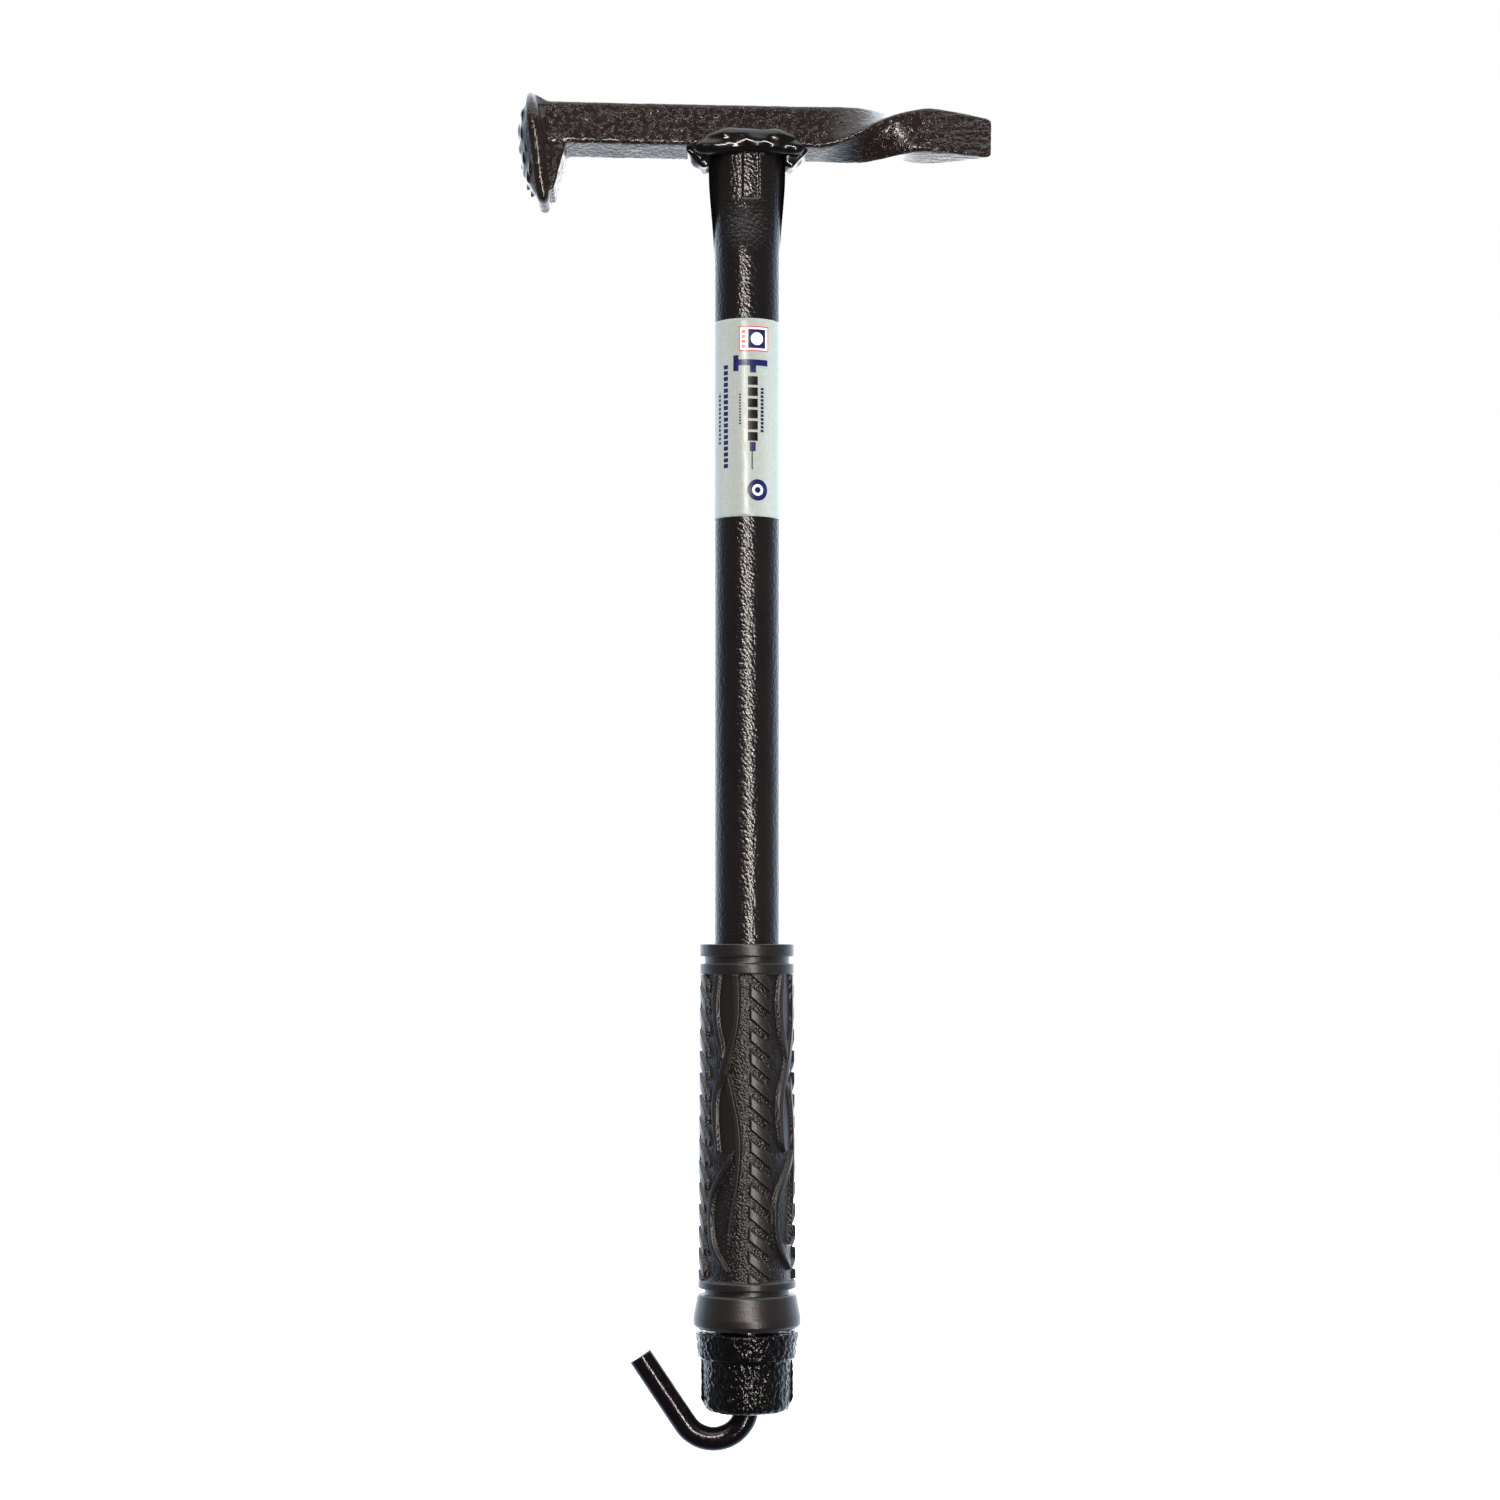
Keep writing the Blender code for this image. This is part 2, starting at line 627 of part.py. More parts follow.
def make_cap(finish):
    thread_r = PIPE_R - THREAD_DEPTH + GAP
    corner = arc((CAP_FOOT_R - CAP_CORNER_R, CAP_CORNER_R), CAP_CORNER_R, 0, -math.pi / 2, 5)
    outer = [
        (CAP_BAND_TOP_R - CAP_LIP, CAP_HEIGHT),
        (CAP_BAND_TOP_R, CAP_HEIGHT - CAP_LIP),
        (CAP_BAND_FOOT_R, CAP_BAND_FOOT_Z),
        (CAP_BODY_R, CAP_BAND_FOOT_Z - 0.4 * MM),
    ]
    bore_top_r = PIPE_R + GAP
    thread_top_z = THREAD_FOOT_Z + (THREAD_TURNS + 1) * THREAD_PITCH
    inner = [
        (CAP_HOLE_R, 0.0),
        (CAP_HOLE_R, CAP_FLOOR_Z),
        (thread_r, CAP_FLOOR_Z),
        (thread_r, thread_top_z - GAP),
        (bore_top_r, thread_top_z + THREAD_DEPTH - 2 * GAP),
        (bore_top_r, CAP_HEIGHT),
    ]
    cap = turned("end_cap", outer + corner + inner)
    for rib in cap_ribs():
        boolean(cap, rib, "UNION")
    groove = thread_ridge("cap_thread", PIPE_R, thread_r, THREAD_HALF_FOOT + GAP)
    boolean(cap, groove, "DIFFERENCE")
    return finish_piece(cap, finish)


# ---------------------------------------------------------------- hook rod


def rod_path():
    """Down the handle's axis, round the bend, and up the hook's leg to the left."""
    centre = Vector((-BEND_R, 0, BEND_START_Z))
    bend = []
    for i in range(BEND_CUTS + 1):
        angle = -BEND_ANGLE * i / BEND_CUTS
        bend.append(centre + BEND_R * Vector((math.cos(angle), 0, math.sin(angle))))
    heading = Vector((-math.sin(BEND_ANGLE), 0, -math.cos(BEND_ANGLE)))
    return [Vector((0, 0, ROD_TOP_Z))] + bend + [bend[-1] + heading * LEG_LENGTH]


def make_rod(finish):
    rod = swept("hook_rod", rod_path(), ROD_R)
    bevel = rod.modifiers.new("Cut ends", "BEVEL")
    bevel.width = ROD_CHAMFER
    bevel.segments = 1
    bevel.limit_method = "ANGLE"
    bevel.angle_limit = math.radians(60)
    return finish_piece(rod, finish)


def hexagonal(name, outline):
    """A nut: a blank turned from its outline, with flats cut on it."""
    nut = turned(name, outline, 36)
    heights = [height for _, height in outline]
    margin = 1 * MM
    foot, top = min(heights) - margin, max(heights) + margin
    flats = cylinder(name + "_flats", NUT_FLATS / math.sqrt(3), foot, top, segments=6)
    return boolean(nut, flats, "INTERSECT")


def nut_side(foot, height):
    """A nut's outer outline, chamfered at both ends, from its top down."""
    flat_r = NUT_FLATS / 2
    wide = NUT_FLATS / math.sqrt(3) + 0.1 * MM
    drop = (wide - flat_r) * math.tan(NUT_CHAMFER)
    top = foot + height
    return [(flat_r, top), (wide, top - drop), (wide, foot + drop), (flat_r, foot)]


def washer(name, foot, radius, height, finish):
    lip = WASHER_LIP
    top = foot + height
    outer = [(radius - lip, top), (radius, top - lip), (radius, foot + lip), (radius - lip, foot)]
    return finish_piece(turned(name, sleeve_outline(outer, STACK_BORE_R), 36), finish)


def make_lock_nut(foot, steel, nylon):
    """A nut with a collar on top, and the nylon ring that the collar holds."""
    shoulder = foot + LOCK_NUT_HEIGHT
    top = shoulder + COLLAR_HEIGHT
    seat = shoulder + GAP
    seat_r = INSERT_R + GAP / 2
    collar = [(COLLAR_R - COLLAR_LIP, top), (COLLAR_R, top - COLLAR_LIP), (COLLAR_R, shoulder)]
    inside = [(STACK_BORE_R, foot), (STACK_BORE_R, seat), (seat_r, seat), (seat_r, top)]
    finish_piece(hexagonal("lock_nut", collar + nut_side(foot, LOCK_NUT_HEIGHT) + inside), steel)
    ring_foot = seat + GAP / 2
    ring = [(INSERT_R, ring_foot + INSERT_HEIGHT), (INSERT_R, ring_foot)]
    finish_piece(turned("lock_nut_insert", sleeve_outline(ring, ROD_R + GAP / 2), 36), nylon)


def make_stack(steel, bush, nylon):
    """Stop nut, washer, friction bush, washer and lock nut on the rod's inner end."""
    space = GAP / 2
    level = STACK_FOOT_Z
    stop_nut = sleeve_outline(nut_side(level, STOP_NUT_HEIGHT), STACK_BORE_R)
    finish_piece(hexagonal("stop_nut", stop_nut), steel)
    level += STOP_NUT_HEIGHT + space
    washer("guide_washer_lower", level, WASHER_R, WASHER_THICKNESS, steel)
    level += WASHER_THICKNESS + space
    washer("friction_bush", level, BUSH_R, BUSH_HEIGHT, bush)
    level += BUSH_HEIGHT + space
    washer("guide_washer_upper", level, WASHER_R, WASHER_THICKNESS, steel)
    level += WASHER_THICKNESS + space
    make_lock_nut(level, steel, nylon)


clear_scene()
parts = new_collection("combination_hammer")
cutters = new_collection("cutters", shown=False)

black_coat = new_finish("black_coat", (0.022, 0.018, 0.017), 0.42)
cast_black = new_finish("cast_black", (0.012, 0.012, 0.014), 0.28)
rubber = new_finish("grip_rubber", (0.030, 0.028, 0.028), 0.65)
label_film = new_finish("label_film", (0.62, 0.66, 0.64), 0.35)
zinc = new_finish("zinc_steel", (0.55, 0.55, 0.53), 0.35, metallic=1.0)
nylon = new_finish("nylon", (0.75, 0.76, 0.78), 0.5)
bush_rubber = new_finish("bush_rubber", (0.05, 0.05, 0.05), 0.7)

make_spike(black_coat)
make_pipe(black_coat)
make_beads(black_coat)
make_label(label_film)
make_grip(rubber)
make_cap(cast_black)
make_rod(black_coat)
make_stack(zinc, bush_rubber, nylon)

hammer = bpy.data.objects.new("hammer", None)
hammer.location.z = -head_top_height()
parts.objects.link(hammer)
for piece in parts.objects:
    if piece is not hammer:
        piece.parent = hammer
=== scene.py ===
"""The looks of a trailer hand's combination hammer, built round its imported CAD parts.

Shapes are worked out in millimetres, with heights counted up from the end cap's outer face, +X towards the
head's chisel end and -Y the front. add_mesh turns them into the frame's metres. Angles round the handle run
from its front, positive towards +X.
"""

import json
import math

import bmesh
import bpy
import numpy as np
from mathutils import Matrix, Vector, noise


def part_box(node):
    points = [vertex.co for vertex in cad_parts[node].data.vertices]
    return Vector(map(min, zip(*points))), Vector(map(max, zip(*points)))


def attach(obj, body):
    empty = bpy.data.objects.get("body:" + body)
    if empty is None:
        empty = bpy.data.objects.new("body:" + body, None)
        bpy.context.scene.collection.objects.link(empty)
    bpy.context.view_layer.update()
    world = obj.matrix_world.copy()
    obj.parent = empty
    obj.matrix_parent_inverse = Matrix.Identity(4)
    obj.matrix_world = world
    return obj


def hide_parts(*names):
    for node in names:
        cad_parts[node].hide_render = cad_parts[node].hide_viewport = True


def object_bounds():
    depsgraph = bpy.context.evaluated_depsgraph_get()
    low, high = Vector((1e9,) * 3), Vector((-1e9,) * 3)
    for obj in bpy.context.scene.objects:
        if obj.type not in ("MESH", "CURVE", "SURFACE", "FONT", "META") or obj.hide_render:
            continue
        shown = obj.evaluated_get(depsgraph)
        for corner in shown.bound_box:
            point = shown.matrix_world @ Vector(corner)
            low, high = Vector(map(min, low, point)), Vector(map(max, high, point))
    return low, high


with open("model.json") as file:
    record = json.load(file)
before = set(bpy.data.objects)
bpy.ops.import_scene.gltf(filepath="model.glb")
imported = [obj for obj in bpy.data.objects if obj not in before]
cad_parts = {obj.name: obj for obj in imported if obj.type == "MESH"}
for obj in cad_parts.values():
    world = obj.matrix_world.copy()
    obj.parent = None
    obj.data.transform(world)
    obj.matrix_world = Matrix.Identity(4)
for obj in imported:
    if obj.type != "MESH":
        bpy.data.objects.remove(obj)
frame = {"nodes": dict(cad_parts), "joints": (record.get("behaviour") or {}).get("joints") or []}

MM = 0.001
TAU = 2 * math.pi
cad_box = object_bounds()
cap_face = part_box("end_cap")[0].z
BASE = Vector((0, 0, cap_face))  # where the millimetres start, in the frame's metres
CRISP = math.radians(50)  # sharpest fold that is still shaded smooth


def extent(node):
    """Lowest and highest corner of a CAD node in millimetres."""
    low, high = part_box(node)
    return (low - BASE) / MM, (high - BASE) / MM


PIPE_R = extent("handle_pipe")[1].y
PIPE_FOOT = extent("handle_pipe")[0].z


# ---- shapes

CORNER_SHARE = 0.45  # most of an edge that one rounded corner may take


def add_object(name, data):
    """A new object in the scene."""
    obj = bpy.data.objects.new(name, data)
    bpy.context.scene.collection.objects.link(obj)
    return obj


def add_mesh(name, points, faces):
    """A new smooth-shaded piece from points in millimetres."""
    mesh = bpy.data.meshes.new(name)
    placed = np.asarray(points, float).reshape(-1, 3) * MM + (0, 0, cap_face)
    mesh.from_pydata(placed.tolist(), [], faces)
    mesh.shade_smooth()
    return add_object(name, mesh)


def skin(name, points, closed=True):
    """A skin over a grid of points. Columns run round the piece. Rows run down its outside and, where it is
    closed, back up its inside. An open one gets a flat end on its first and last row."""
    rows, columns = points.shape[:2]
    index = np.arange(rows * columns).reshape(rows, columns)
    here = index if closed else index[:-1]
    below = np.roll(index, -1, axis=0) if closed else index[1:]
    corners = [here, below, np.roll(below, -1, axis=1), np.roll(here, -1, axis=1)]
    faces = np.stack(corners, axis=-1).reshape(-1, 4).tolist()
    if not closed:
        faces += [index[0].tolist(), index[-1][::-1].tolist()]
    return add_mesh(name, points, faces)


def lathe(outline, steps):
    """Grid of points from an outline of (radius, height) turned about the handle's axis."""
    radius, height = np.array(outline, float).T
    angle = np.arange(steps) * TAU / steps
    x = radius[:, None] * np.sin(angle)
    y = -radius[:, None] * np.cos(angle)
    z = np.repeat(height[:, None], steps, axis=1)
    return np.stack([x, y, z], axis=-1)


def rounded(outline, radius, cuts=4):
    """An open outline of (radius, height) with its inner corners rounded off."""
    made = [outline[0]]
    for before, corner, after in zip(outline, outline[1:], outline[2:]):
        before, corner, after = Vector(before), Vector(corner), Vector(after)
        room = min((before - corner).length * CORNER_SHARE, (after - corner).length * CORNER_SHARE)
        reach = min(radius, room)
        start = corner + (before - corner).normalized() * reach
        end = corner + (after - corner).normalized() * reach
        for i in range(cuts + 1):
            t = i / cuts
            made.append(tuple(start * (1 - t) ** 2 + corner * 2 * t * (1 - t) + end * t * t))
    return made + [outline[-1]]


def refined(outline, spacing):
    """An outline with points added so that none stand further apart than the spacing."""
    made = []
    for (r0, z0), (r1, z1) in zip(outline, outline[1:]):
        cuts = max(1, math.ceil(math.hypot(r1 - r0, z1 - z0) / spacing))
        made += [(r0 + (r1 - r0) * i / cuts, z0 + (z1 - z0) * i / cuts) for i in range(cuts)]
    return made + [outline[-1]]


def smoothstep(value, start, end):
    """Smooth rise from 0 to 1 as the value goes from start to end."""
    share = np.clip((np.asarray(value, float) - start) / (end - start), 0, 1)
    return share * share * (3 - 2 * share)


def vertex_array(mesh):
    """The mesh's points in millimetres."""
    values = np.empty(len(mesh.vertices) * 3, np.float32)
    mesh.vertices.foreach_get("co", values)
    return (values.reshape(-1, 3).astype(float) - (0, 0, cap_face)) / MM


def set_vertices(mesh, points):
    """Moves the mesh's points to places in millimetres."""
    mesh.vertices.foreach_set("co", (points * MM + (0, 0, cap_face)).astype(np.float32).ravel())
    mesh.update()


def set_attribute(mesh, name, values):
    """Gives each of the mesh's points a number, for its material."""
    attribute = mesh.attributes.new(name, "FLOAT", "POINT")
    attribute.data.foreach_set("value", values.astype(np.float32).ravel())


def from_bmesh(name, shape):
    """A mesh from a bmesh, which is freed."""
    mesh = bpy.data.meshes.new(name)
    shape.to_mesh(mesh)
    shape.free()
    return mesh


def roughen(obj, height):
    """Moves each point along its normal by height(point), in millimetres."""
    mesh = obj.data
    normals = np.empty(len(mesh.vertices) * 3, np.float32)
    mesh.vertex_normals.foreach_get("vector", normals)
    points = vertex_array(mesh)
    lift = np.array([height(Vector(point)) for point in points])
    points += normals.reshape(-1, 3) * lift[:, None]
    set_vertices(mesh, points)


def remeshed(name, sources, voxel, smoothing):
    """One closed skin round several overlapping solids, softened by some rounds of smoothing."""
    joined = bmesh.new()
    for source in sources:
        joined.from_mesh(source)
    obj = add_object(name, from_bmesh(name, joined))
    remesh = obj.modifiers.new("Remesh", "REMESH")
    remesh.mode = "VOXEL"
    remesh.voxel_size = voxel * MM
    graph = bpy.context.evaluated_depsgraph_get()
    made = bpy.data.meshes.new_from_object(obj.evaluated_get(graph), depsgraph=graph)
    obj.modifiers.clear()
    obj.data = made
    made.shade_smooth()
    soften(obj, smoothing)
    return obj


def soften(obj, rounds, weight=None):
    """Draws each point towards its neighbours' middle, by a weight of 0 to 1 for its place."""
    mesh = obj.data
    pairs = np.empty(len(mesh.edges) * 2, np.int32)
    mesh.edges.foreach_get("vertices", pairs)
    first, second = pairs.reshape(-1, 2).T
    points = vertex_array(mesh)
    count = np.bincount(pairs, minlength=len(points))
    share = 0.5 * (np.ones(len(points)) if weight is None else weight(points))[:, None]
    for _ in range(rounds):
        total = np.empty_like(points)
        for axis in range(3):
            total[:, axis] = np.bincount(first, points[second, axis], len(points))
            total[:, axis] += np.bincount(second, points[first, axis], len(points))
        points += share * (total / count[:, None] - points)
    set_vertices(mesh, points)


def blob(centre, radius, stretch=(1, 1, 1)):
    """A ball of metal as a mesh, for remeshed()."""
    shape = bmesh.new()
    bmesh.ops.create_icosphere(shape, subdivisions=3, radius=radius * MM)
    bmesh.ops.scale(shape, verts=shape.verts[:], vec=stretch)
    bmesh.ops.translate(shape, verts=shape.verts[:], vec=Vector(centre) * MM + BASE)
    return from_bmesh("blob", shape)


def prism(ends):
    """A solid between two polygons with as many corners each, as a mesh, for remeshed()."""
    shape = bmesh.new()
    first, last = [[shape.verts.new(Vector(point) * MM + BASE) for point in ring] for ring in ends]
    shape.faces.new(first)
    shape.faces.new(last[::-1])
    for i in range(len(first)):
        k = (i + 1) % len(first)
        shape.faces.new([first[i], last[i], last[k], first[k]])
    bmesh.ops.recalc_face_normals(shape, faces=shape.faces[:])
    return from_bmesh("prism", shape)


def ring_solid(rings):
    """A solid through many rings of points, as a mesh, for remeshed()."""
    solid = skin("rings", np.array(rings), closed=False)
    facing = bmesh.new()
    facing.from_mesh(solid.data)
    bpy.data.objects.remove(solid)
    bmesh.ops.recalc_face_normals(facing, faces=facing.faces[:])
    return from_bmesh("rings", facing)


def grain(point, size, octaves, drift=0.0):
    """Fractal noise whose lumps are about size millimetres across. Another drift gives another pattern."""
    return noise.fractal(point / size + Vector((drift, drift, drift)), 1.0, 2.0, octaves)


# ---- materials


class Nodes:
    """A node tree, with short calls that each add a node and give its output."""

    def __init__(self, tree):
        self.tree = tree

    def node(self, kind, **settings):
        made = self.tree.nodes.new("ShaderNode" + kind)
        for key, value in settings.items():
            setattr(made, key, value)
        return made

    def feed(self, socket, value):
        if isinstance(value, bpy.types.NodeSocket):
            self.tree.links.new(value, socket)
        else:
            socket.default_value = value

    def feed_all(self, sockets, values):
        for socket, value in zip(sockets, values):
            self.feed(socket, value)

    def math(self, operation, *values):
        made = self.node("Math", operation=operation)
        self.feed_all(made.inputs, values)
        return made.outputs[0]

    def ramp(self, value, start, end, low=0.0, high=1.0):
        """Smooth step from low to high as the value goes from start to end."""
        made = self.node("MapRange", interpolation_type="SMOOTHSTEP")
        self.feed_all(made.inputs, (value, start, end, low, high))
        return made.outputs[0]

    def mix(self, share, first, second, **settings):
        """Colour between first and second."""
        made = self.node("Mix", data_type="RGBA", **settings)
        colours = [(*value, 1.0) if isinstance(value, tuple) else value for value in (first, second)]
        self.feed_all((made.inputs[0], made.inputs[6], made.inputs[7]), (share, *colours))
        return made.outputs[2]

    def part(self, vector, letter):
        """The X, Y or Z of a vector."""
        made = self.node("SeparateXYZ")
        self.feed(made.inputs[0], vector)
        return made.outputs["XYZ".index(letter)]


class Finish(Nodes):
    """A material whose noise and bump are measured in millimetres. Its place is in metres."""

    def __init__(self, name):
        self.material = bpy.data.materials.new(name)
        self.material.use_nodes = True
        super().__init__(self.material.node_tree)
        self.shader = self.tree.nodes["Principled BSDF"]
        self.place = self.node("TexCoord").outputs["Object"]

    def set(self, name, value):
        self.feed(self.shader.inputs[name], value)

    def noise(self, size, detail, place=None):
        """Noise with lumps about size millimetres across."""
        made = self.node("TexNoise")
        self.feed(made.inputs["Vector"], place or self.place)
        self.feed(made.inputs["Scale"], 1 / (size * MM))
        self.feed(made.inputs["Detail"], detail)
        return made.outputs[0]

    def stretched(self, scale):
        """The place with each axis scaled. Noise is drawn out along an axis whose scale is small."""
        made = self.node("Mapping")
        self.feed(made.inputs["Vector"], self.place)
        self.feed(made.inputs["Scale"], scale)
        return made.outputs[0]

    def bump(self, height, distance, normal=None):
        """Bump of the given depth. It may be laid over an earlier one."""
        made = self.node("Bump")
        self.feed(made.inputs["Height"], height)
        self.feed(made.inputs["Distance"], distance * MM)
        if normal is not None:
            self.feed(made.inputs["Normal"], normal)
        return made.outputs[0]

    def peel(self, size, depth, normal):
        """Bump of small round domes about size apart, laid over an earlier one."""
        made = self.node("TexVoronoi")
        self.feed(made.inputs["Vector"], self.place)
        self.feed(made.inputs["Scale"], 1 / (size * MM))
        distance = made.outputs[0]
        dome = self.math("SUBTRACT", 1.0, self.math("MULTIPLY", distance, distance))
        return self.bump(dome, depth, normal)

    def cloudy(self, size, detail, first, second):
        """A colour that drifts from first to second in clouds about size across."""
        self.set("Base Color", self.mix(self.noise(size, detail), first, second))

    def patchy(self, size, detail, low, high):
        """A roughness from low to high in patches about size across."""
        self.set("Roughness", self.ramp(self.noise(size, detail), 0.3, 0.7, low, high))

    def attribute(self, name):
        return self.node("Attribute", attribute_name=name).outputs["Fac"]


def powder_coat():
    """Black powder coat on smooth pipe: satin, with a fine orange peel."""
    look = Finish("powder_coat")
    look.cloudy(18, 3, (0.0060, 0.0058, 0.0068), (0.0135, 0.0112, 0.0108))
    look.patchy(2.5, 3, 0.16, 0.21)
    look.set("Normal", look.peel(1.15, 0.11, look.bump(look.noise(1.0, 1), 0.08)))
    return look.material


def forged_coat():
    """The same coat over forged scale: pitted most towards the struck end, and streaked on the chisel."""
    look = Finish("forged_coat")
    look.cloudy(9, 4, (0.0105, 0.0066, 0.0060), (0.0250, 0.0165, 0.0152))
    look.set("Specular IOR Level", 0.38)
    look.patchy(1.5, 3, 0.10, 0.17)
    along = look.part(look.place, "X")
    pitted = look.ramp(along, 0.002, -0.02, 0.55, 1.0)
    off_plate = look.ramp(along, -0.0665, -0.0635, 0.25, 1.0)
    flecks = look.ramp(look.noise(1.8, 2), 0.50, 0.60, 0.15, 1.0)
    rough = look.math("MULTIPLY", flecks, look.math("MULTIPLY", pitted, off_plate))
    scale = look.bump(look.math("MULTIPLY", look.noise(1.1, 1), rough), 0.46)
    drawn = look.ramp(along, 0.055, 0.066, 0.0, 1.0)
    streaks = look.math("MULTIPLY", look.noise(1.6, 3, place=look.stretched((0.3, 1.0, 1.0))), drawn)
    look.set("Normal", look.bump(streaks, 1.15, scale))
    return look.material


def weld_coat():
    """Thick glossy paint run over weld metal."""
    look = Finish("weld_coat")
    look.set("Base Color", (0.006, 0.0052, 0.005, 1.0))
    look.patchy(3, 2, 0.09, 0.2)
    look.set("Normal", look.bump(look.noise(2.2, 1), 0.06))
    return look.material


def cast_coat():
    """Gloss black over rough cast iron."""
    look = Finish("cast_coat")
    look.cloudy(4, 3, (0.002, 0.002, 0.0025), (0.007, 0.0065, 0.007))
    look.patchy(1.5, 2, 0.04, 0.09)
    look.set("Specular IOR Level", 0.30)
    look.set("Normal", look.peel(1.3, 0.30, look.bump(look.noise(2.0, 2), 0.50)))
    return look.material


def rod_coat():
    """Smooth gloss black on bright bar, with a faint grain."""
    look = Finish("rod_coat")
    look.cloudy(7, 3, (0.0035, 0.0026, 0.0045), (0.0075, 0.0052, 0.0078))
    look.patchy(2.0, 3, 0.10, 0.20)
    look.set("Normal", look.bump(look.noise(0.8, 2), 0.06))
    return look.material


def moulded_rubber():
    """Dark moulded rubber: a fine stipple on the ground, smooth on the raised shapes."""
    look = Finish("moulded_rubber")
    raised = look.attribute("smooth")
    ground = look.mix(look.noise(14, 3), (0.0052, 0.0042, 0.0040), (0.0100, 0.0080, 0.0075))
    look.set("Base Color", look.mix(raised, ground, (0.0110, 0.0087, 0.0083)))
    look.set("Roughness", look.ramp(raised, 0.0, 1.0, 0.31, 0.34))
    look.set("Sheen Weight", 0.16)
    look.set("Sheen Roughness", 0.4)
    look.set("Sheen Tint", (0.80, 0.84, 1.0, 1.0))
    stipple = look.math("MULTIPLY", look.noise(0.75, 1), look.ramp(raised, 0.2, 0.9, 1.0, 0.08))
    fine = look.bump(stipple, 0.42)
    look.set("Normal", look.bump(look.noise(2.4, 3), 0.06, fine))
    return look.material


def label_film():
    """Printed film: a pale grey ground with a made-up layout of bars, a frame, a mallet and a ring."""
    look = Finish("label_film")
    across = look.attribute("across")
    up = look.attribute("up")
    navy, black = (0.012, 0.014, 0.085), (0.004, 0.004, 0.004)
    red, pale = (0.55, 0.03, 0.02), (0.80, 0.84, 0.82)
    colour = look.mix(look.noise(0.7, 3), (0.30, 0.343, 0.320), (0.44, 0.479, 0.459))

    def outside(value, low, high):
        """How far a value is outside a range. Negative is inside."""
        off_middle = look.math("ABSOLUTE", look.math("SUBTRACT", value, (low + high) / 2))
        return look.math("SUBTRACT", off_middle, (high - low) / 2)

    def inside(left, right, foot, top):
        """1 inside a rectangle on the film, in millimetres across from the front and up from its foot."""
        furthest = look.math("MAXIMUM", outside(across, left, right), outside(up, foot, top))
        return look.math("LESS_THAN", furthest, 0.0)

    def disc(side, height, radius):
        """1 inside a round spot."""
        dx = look.math("SUBTRACT", across, side)
        dz = look.math("SUBTRACT", up, height)
        square = look.math("ADD", look.math("MULTIPLY", dx, dx), look.math("MULTIPLY", dz, dz))
        return look.math("LESS_THAN", square, radius * radius)

    def dashes(left, right, foot, top, pitch, filled):
        """A column of equal bars, each a share of the pitch long."""
        phase = look.math("FRACT", look.math("DIVIDE", look.math("SUBTRACT", up, foot), pitch))
        return look.math("MULTIPLY", inside(left, right, foot, top), look.math("LESS_THAN", phase, filled))

    # Each shape with its ink, in the order of printing.
    printed = [
        (inside(-2.7, 7.5, 53.9, 62.1), red),
        (inside(-2.35, 7.15, 54.25, 61.75), pale),
        (dashes(-1.7, -0.6, 54.9, 61.2, 1.6, 0.7), red),
        (inside(0.4, 6.3, 54.9, 61.1), navy),
        (disc(3.35, 58.0, 2.1), pale),
        (inside(-4.6, 7.2, 49.2, 51.2), navy),
        (inside(-4.6, -2.8, 47.4, 52.6), navy),
        (inside(1.0, 3.0, 46.9, 49.4), navy),
        (dashes(0.3, 3.6, 24.6, 46.4, 3.65, 0.78), black),
        (inside(0.9, 2.9, 21.2, 24.2), navy),
        (inside(1.5, 1.9, 15.3, 21.4), black),
        (dashes(4.6, 5.7, 27.5, 42.0, 1.25, 0.72), navy),
        (dashes(-2.6, -2.0, 30.0, 40.0, 0.95, 0.6), black),
        (dashes(-8.4, -6.6, 16.0, 50.0, 1.9, 0.72), navy),
        (dashes(-10.9, -9.8, 24.0, 41.0, 1.4, 0.66), navy),
        (disc(3.6, 8.6, 3.5), navy),
        (disc(3.6, 8.6, 1.9), pale),
        (disc(3.6, 8.6, 1.0), navy),
    ]
    for mask, ink in printed:
        colour = look.mix(mask, colour, ink)
    look.set("Base Color", colour)
    look.patchy(5, 3, 0.20, 0.30)
    look.set("Normal", look.bump(look.noise(2.0, 3), 0.03))
    return look.material


def zinc_plate():
    """Zinc-plated steel with cloudy passivation."""
    look = Finish("zinc_plate")
    look.set("Metallic", 1.0)
    look.cloudy(2.5, 4, (0.40, 0.40, 0.36), (0.62, 0.61, 0.56))
    look.patchy(0.8, 3, 0.25, 0.48)
    look.set("Normal", look.bump(look.noise(0.4, 3), 0.02))
    return look.material


def bush_rubber():
    """Plain matt rubber."""
    look = Finish("bush_rubber")
    look.set("Roughness", 0.7)
    look.cloudy(1.5, 3, (0.02, 0.02, 0.02), (0.05, 0.05, 0.048))
    look.set("Normal", look.bump(look.noise(0.5, 3), 0.05))
    return look.material


def nylon():
    """Natural nylon, a little translucent."""
    look = Finish("nylon")
    look.set("Roughness", 0.45)
    look.cloudy(1.5, 3, (0.62, 0.64, 0.66), (0.76, 0.78, 0.80))
    look.set("Subsurface Weight", 0.2)
    look.set("Subsurface Scale", 0.5 * MM)
    look.set("Normal", look.bump(look.noise(0.6, 2), 0.02))
    return look.material


def add_finish(obj, material, node, body="handle"):
    """Gives a new piece its material and its body, and hides the CAD node that it stands for."""
    obj.data.materials.append(material)
    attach(obj, body)
    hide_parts(node)


# ---- handle pipe

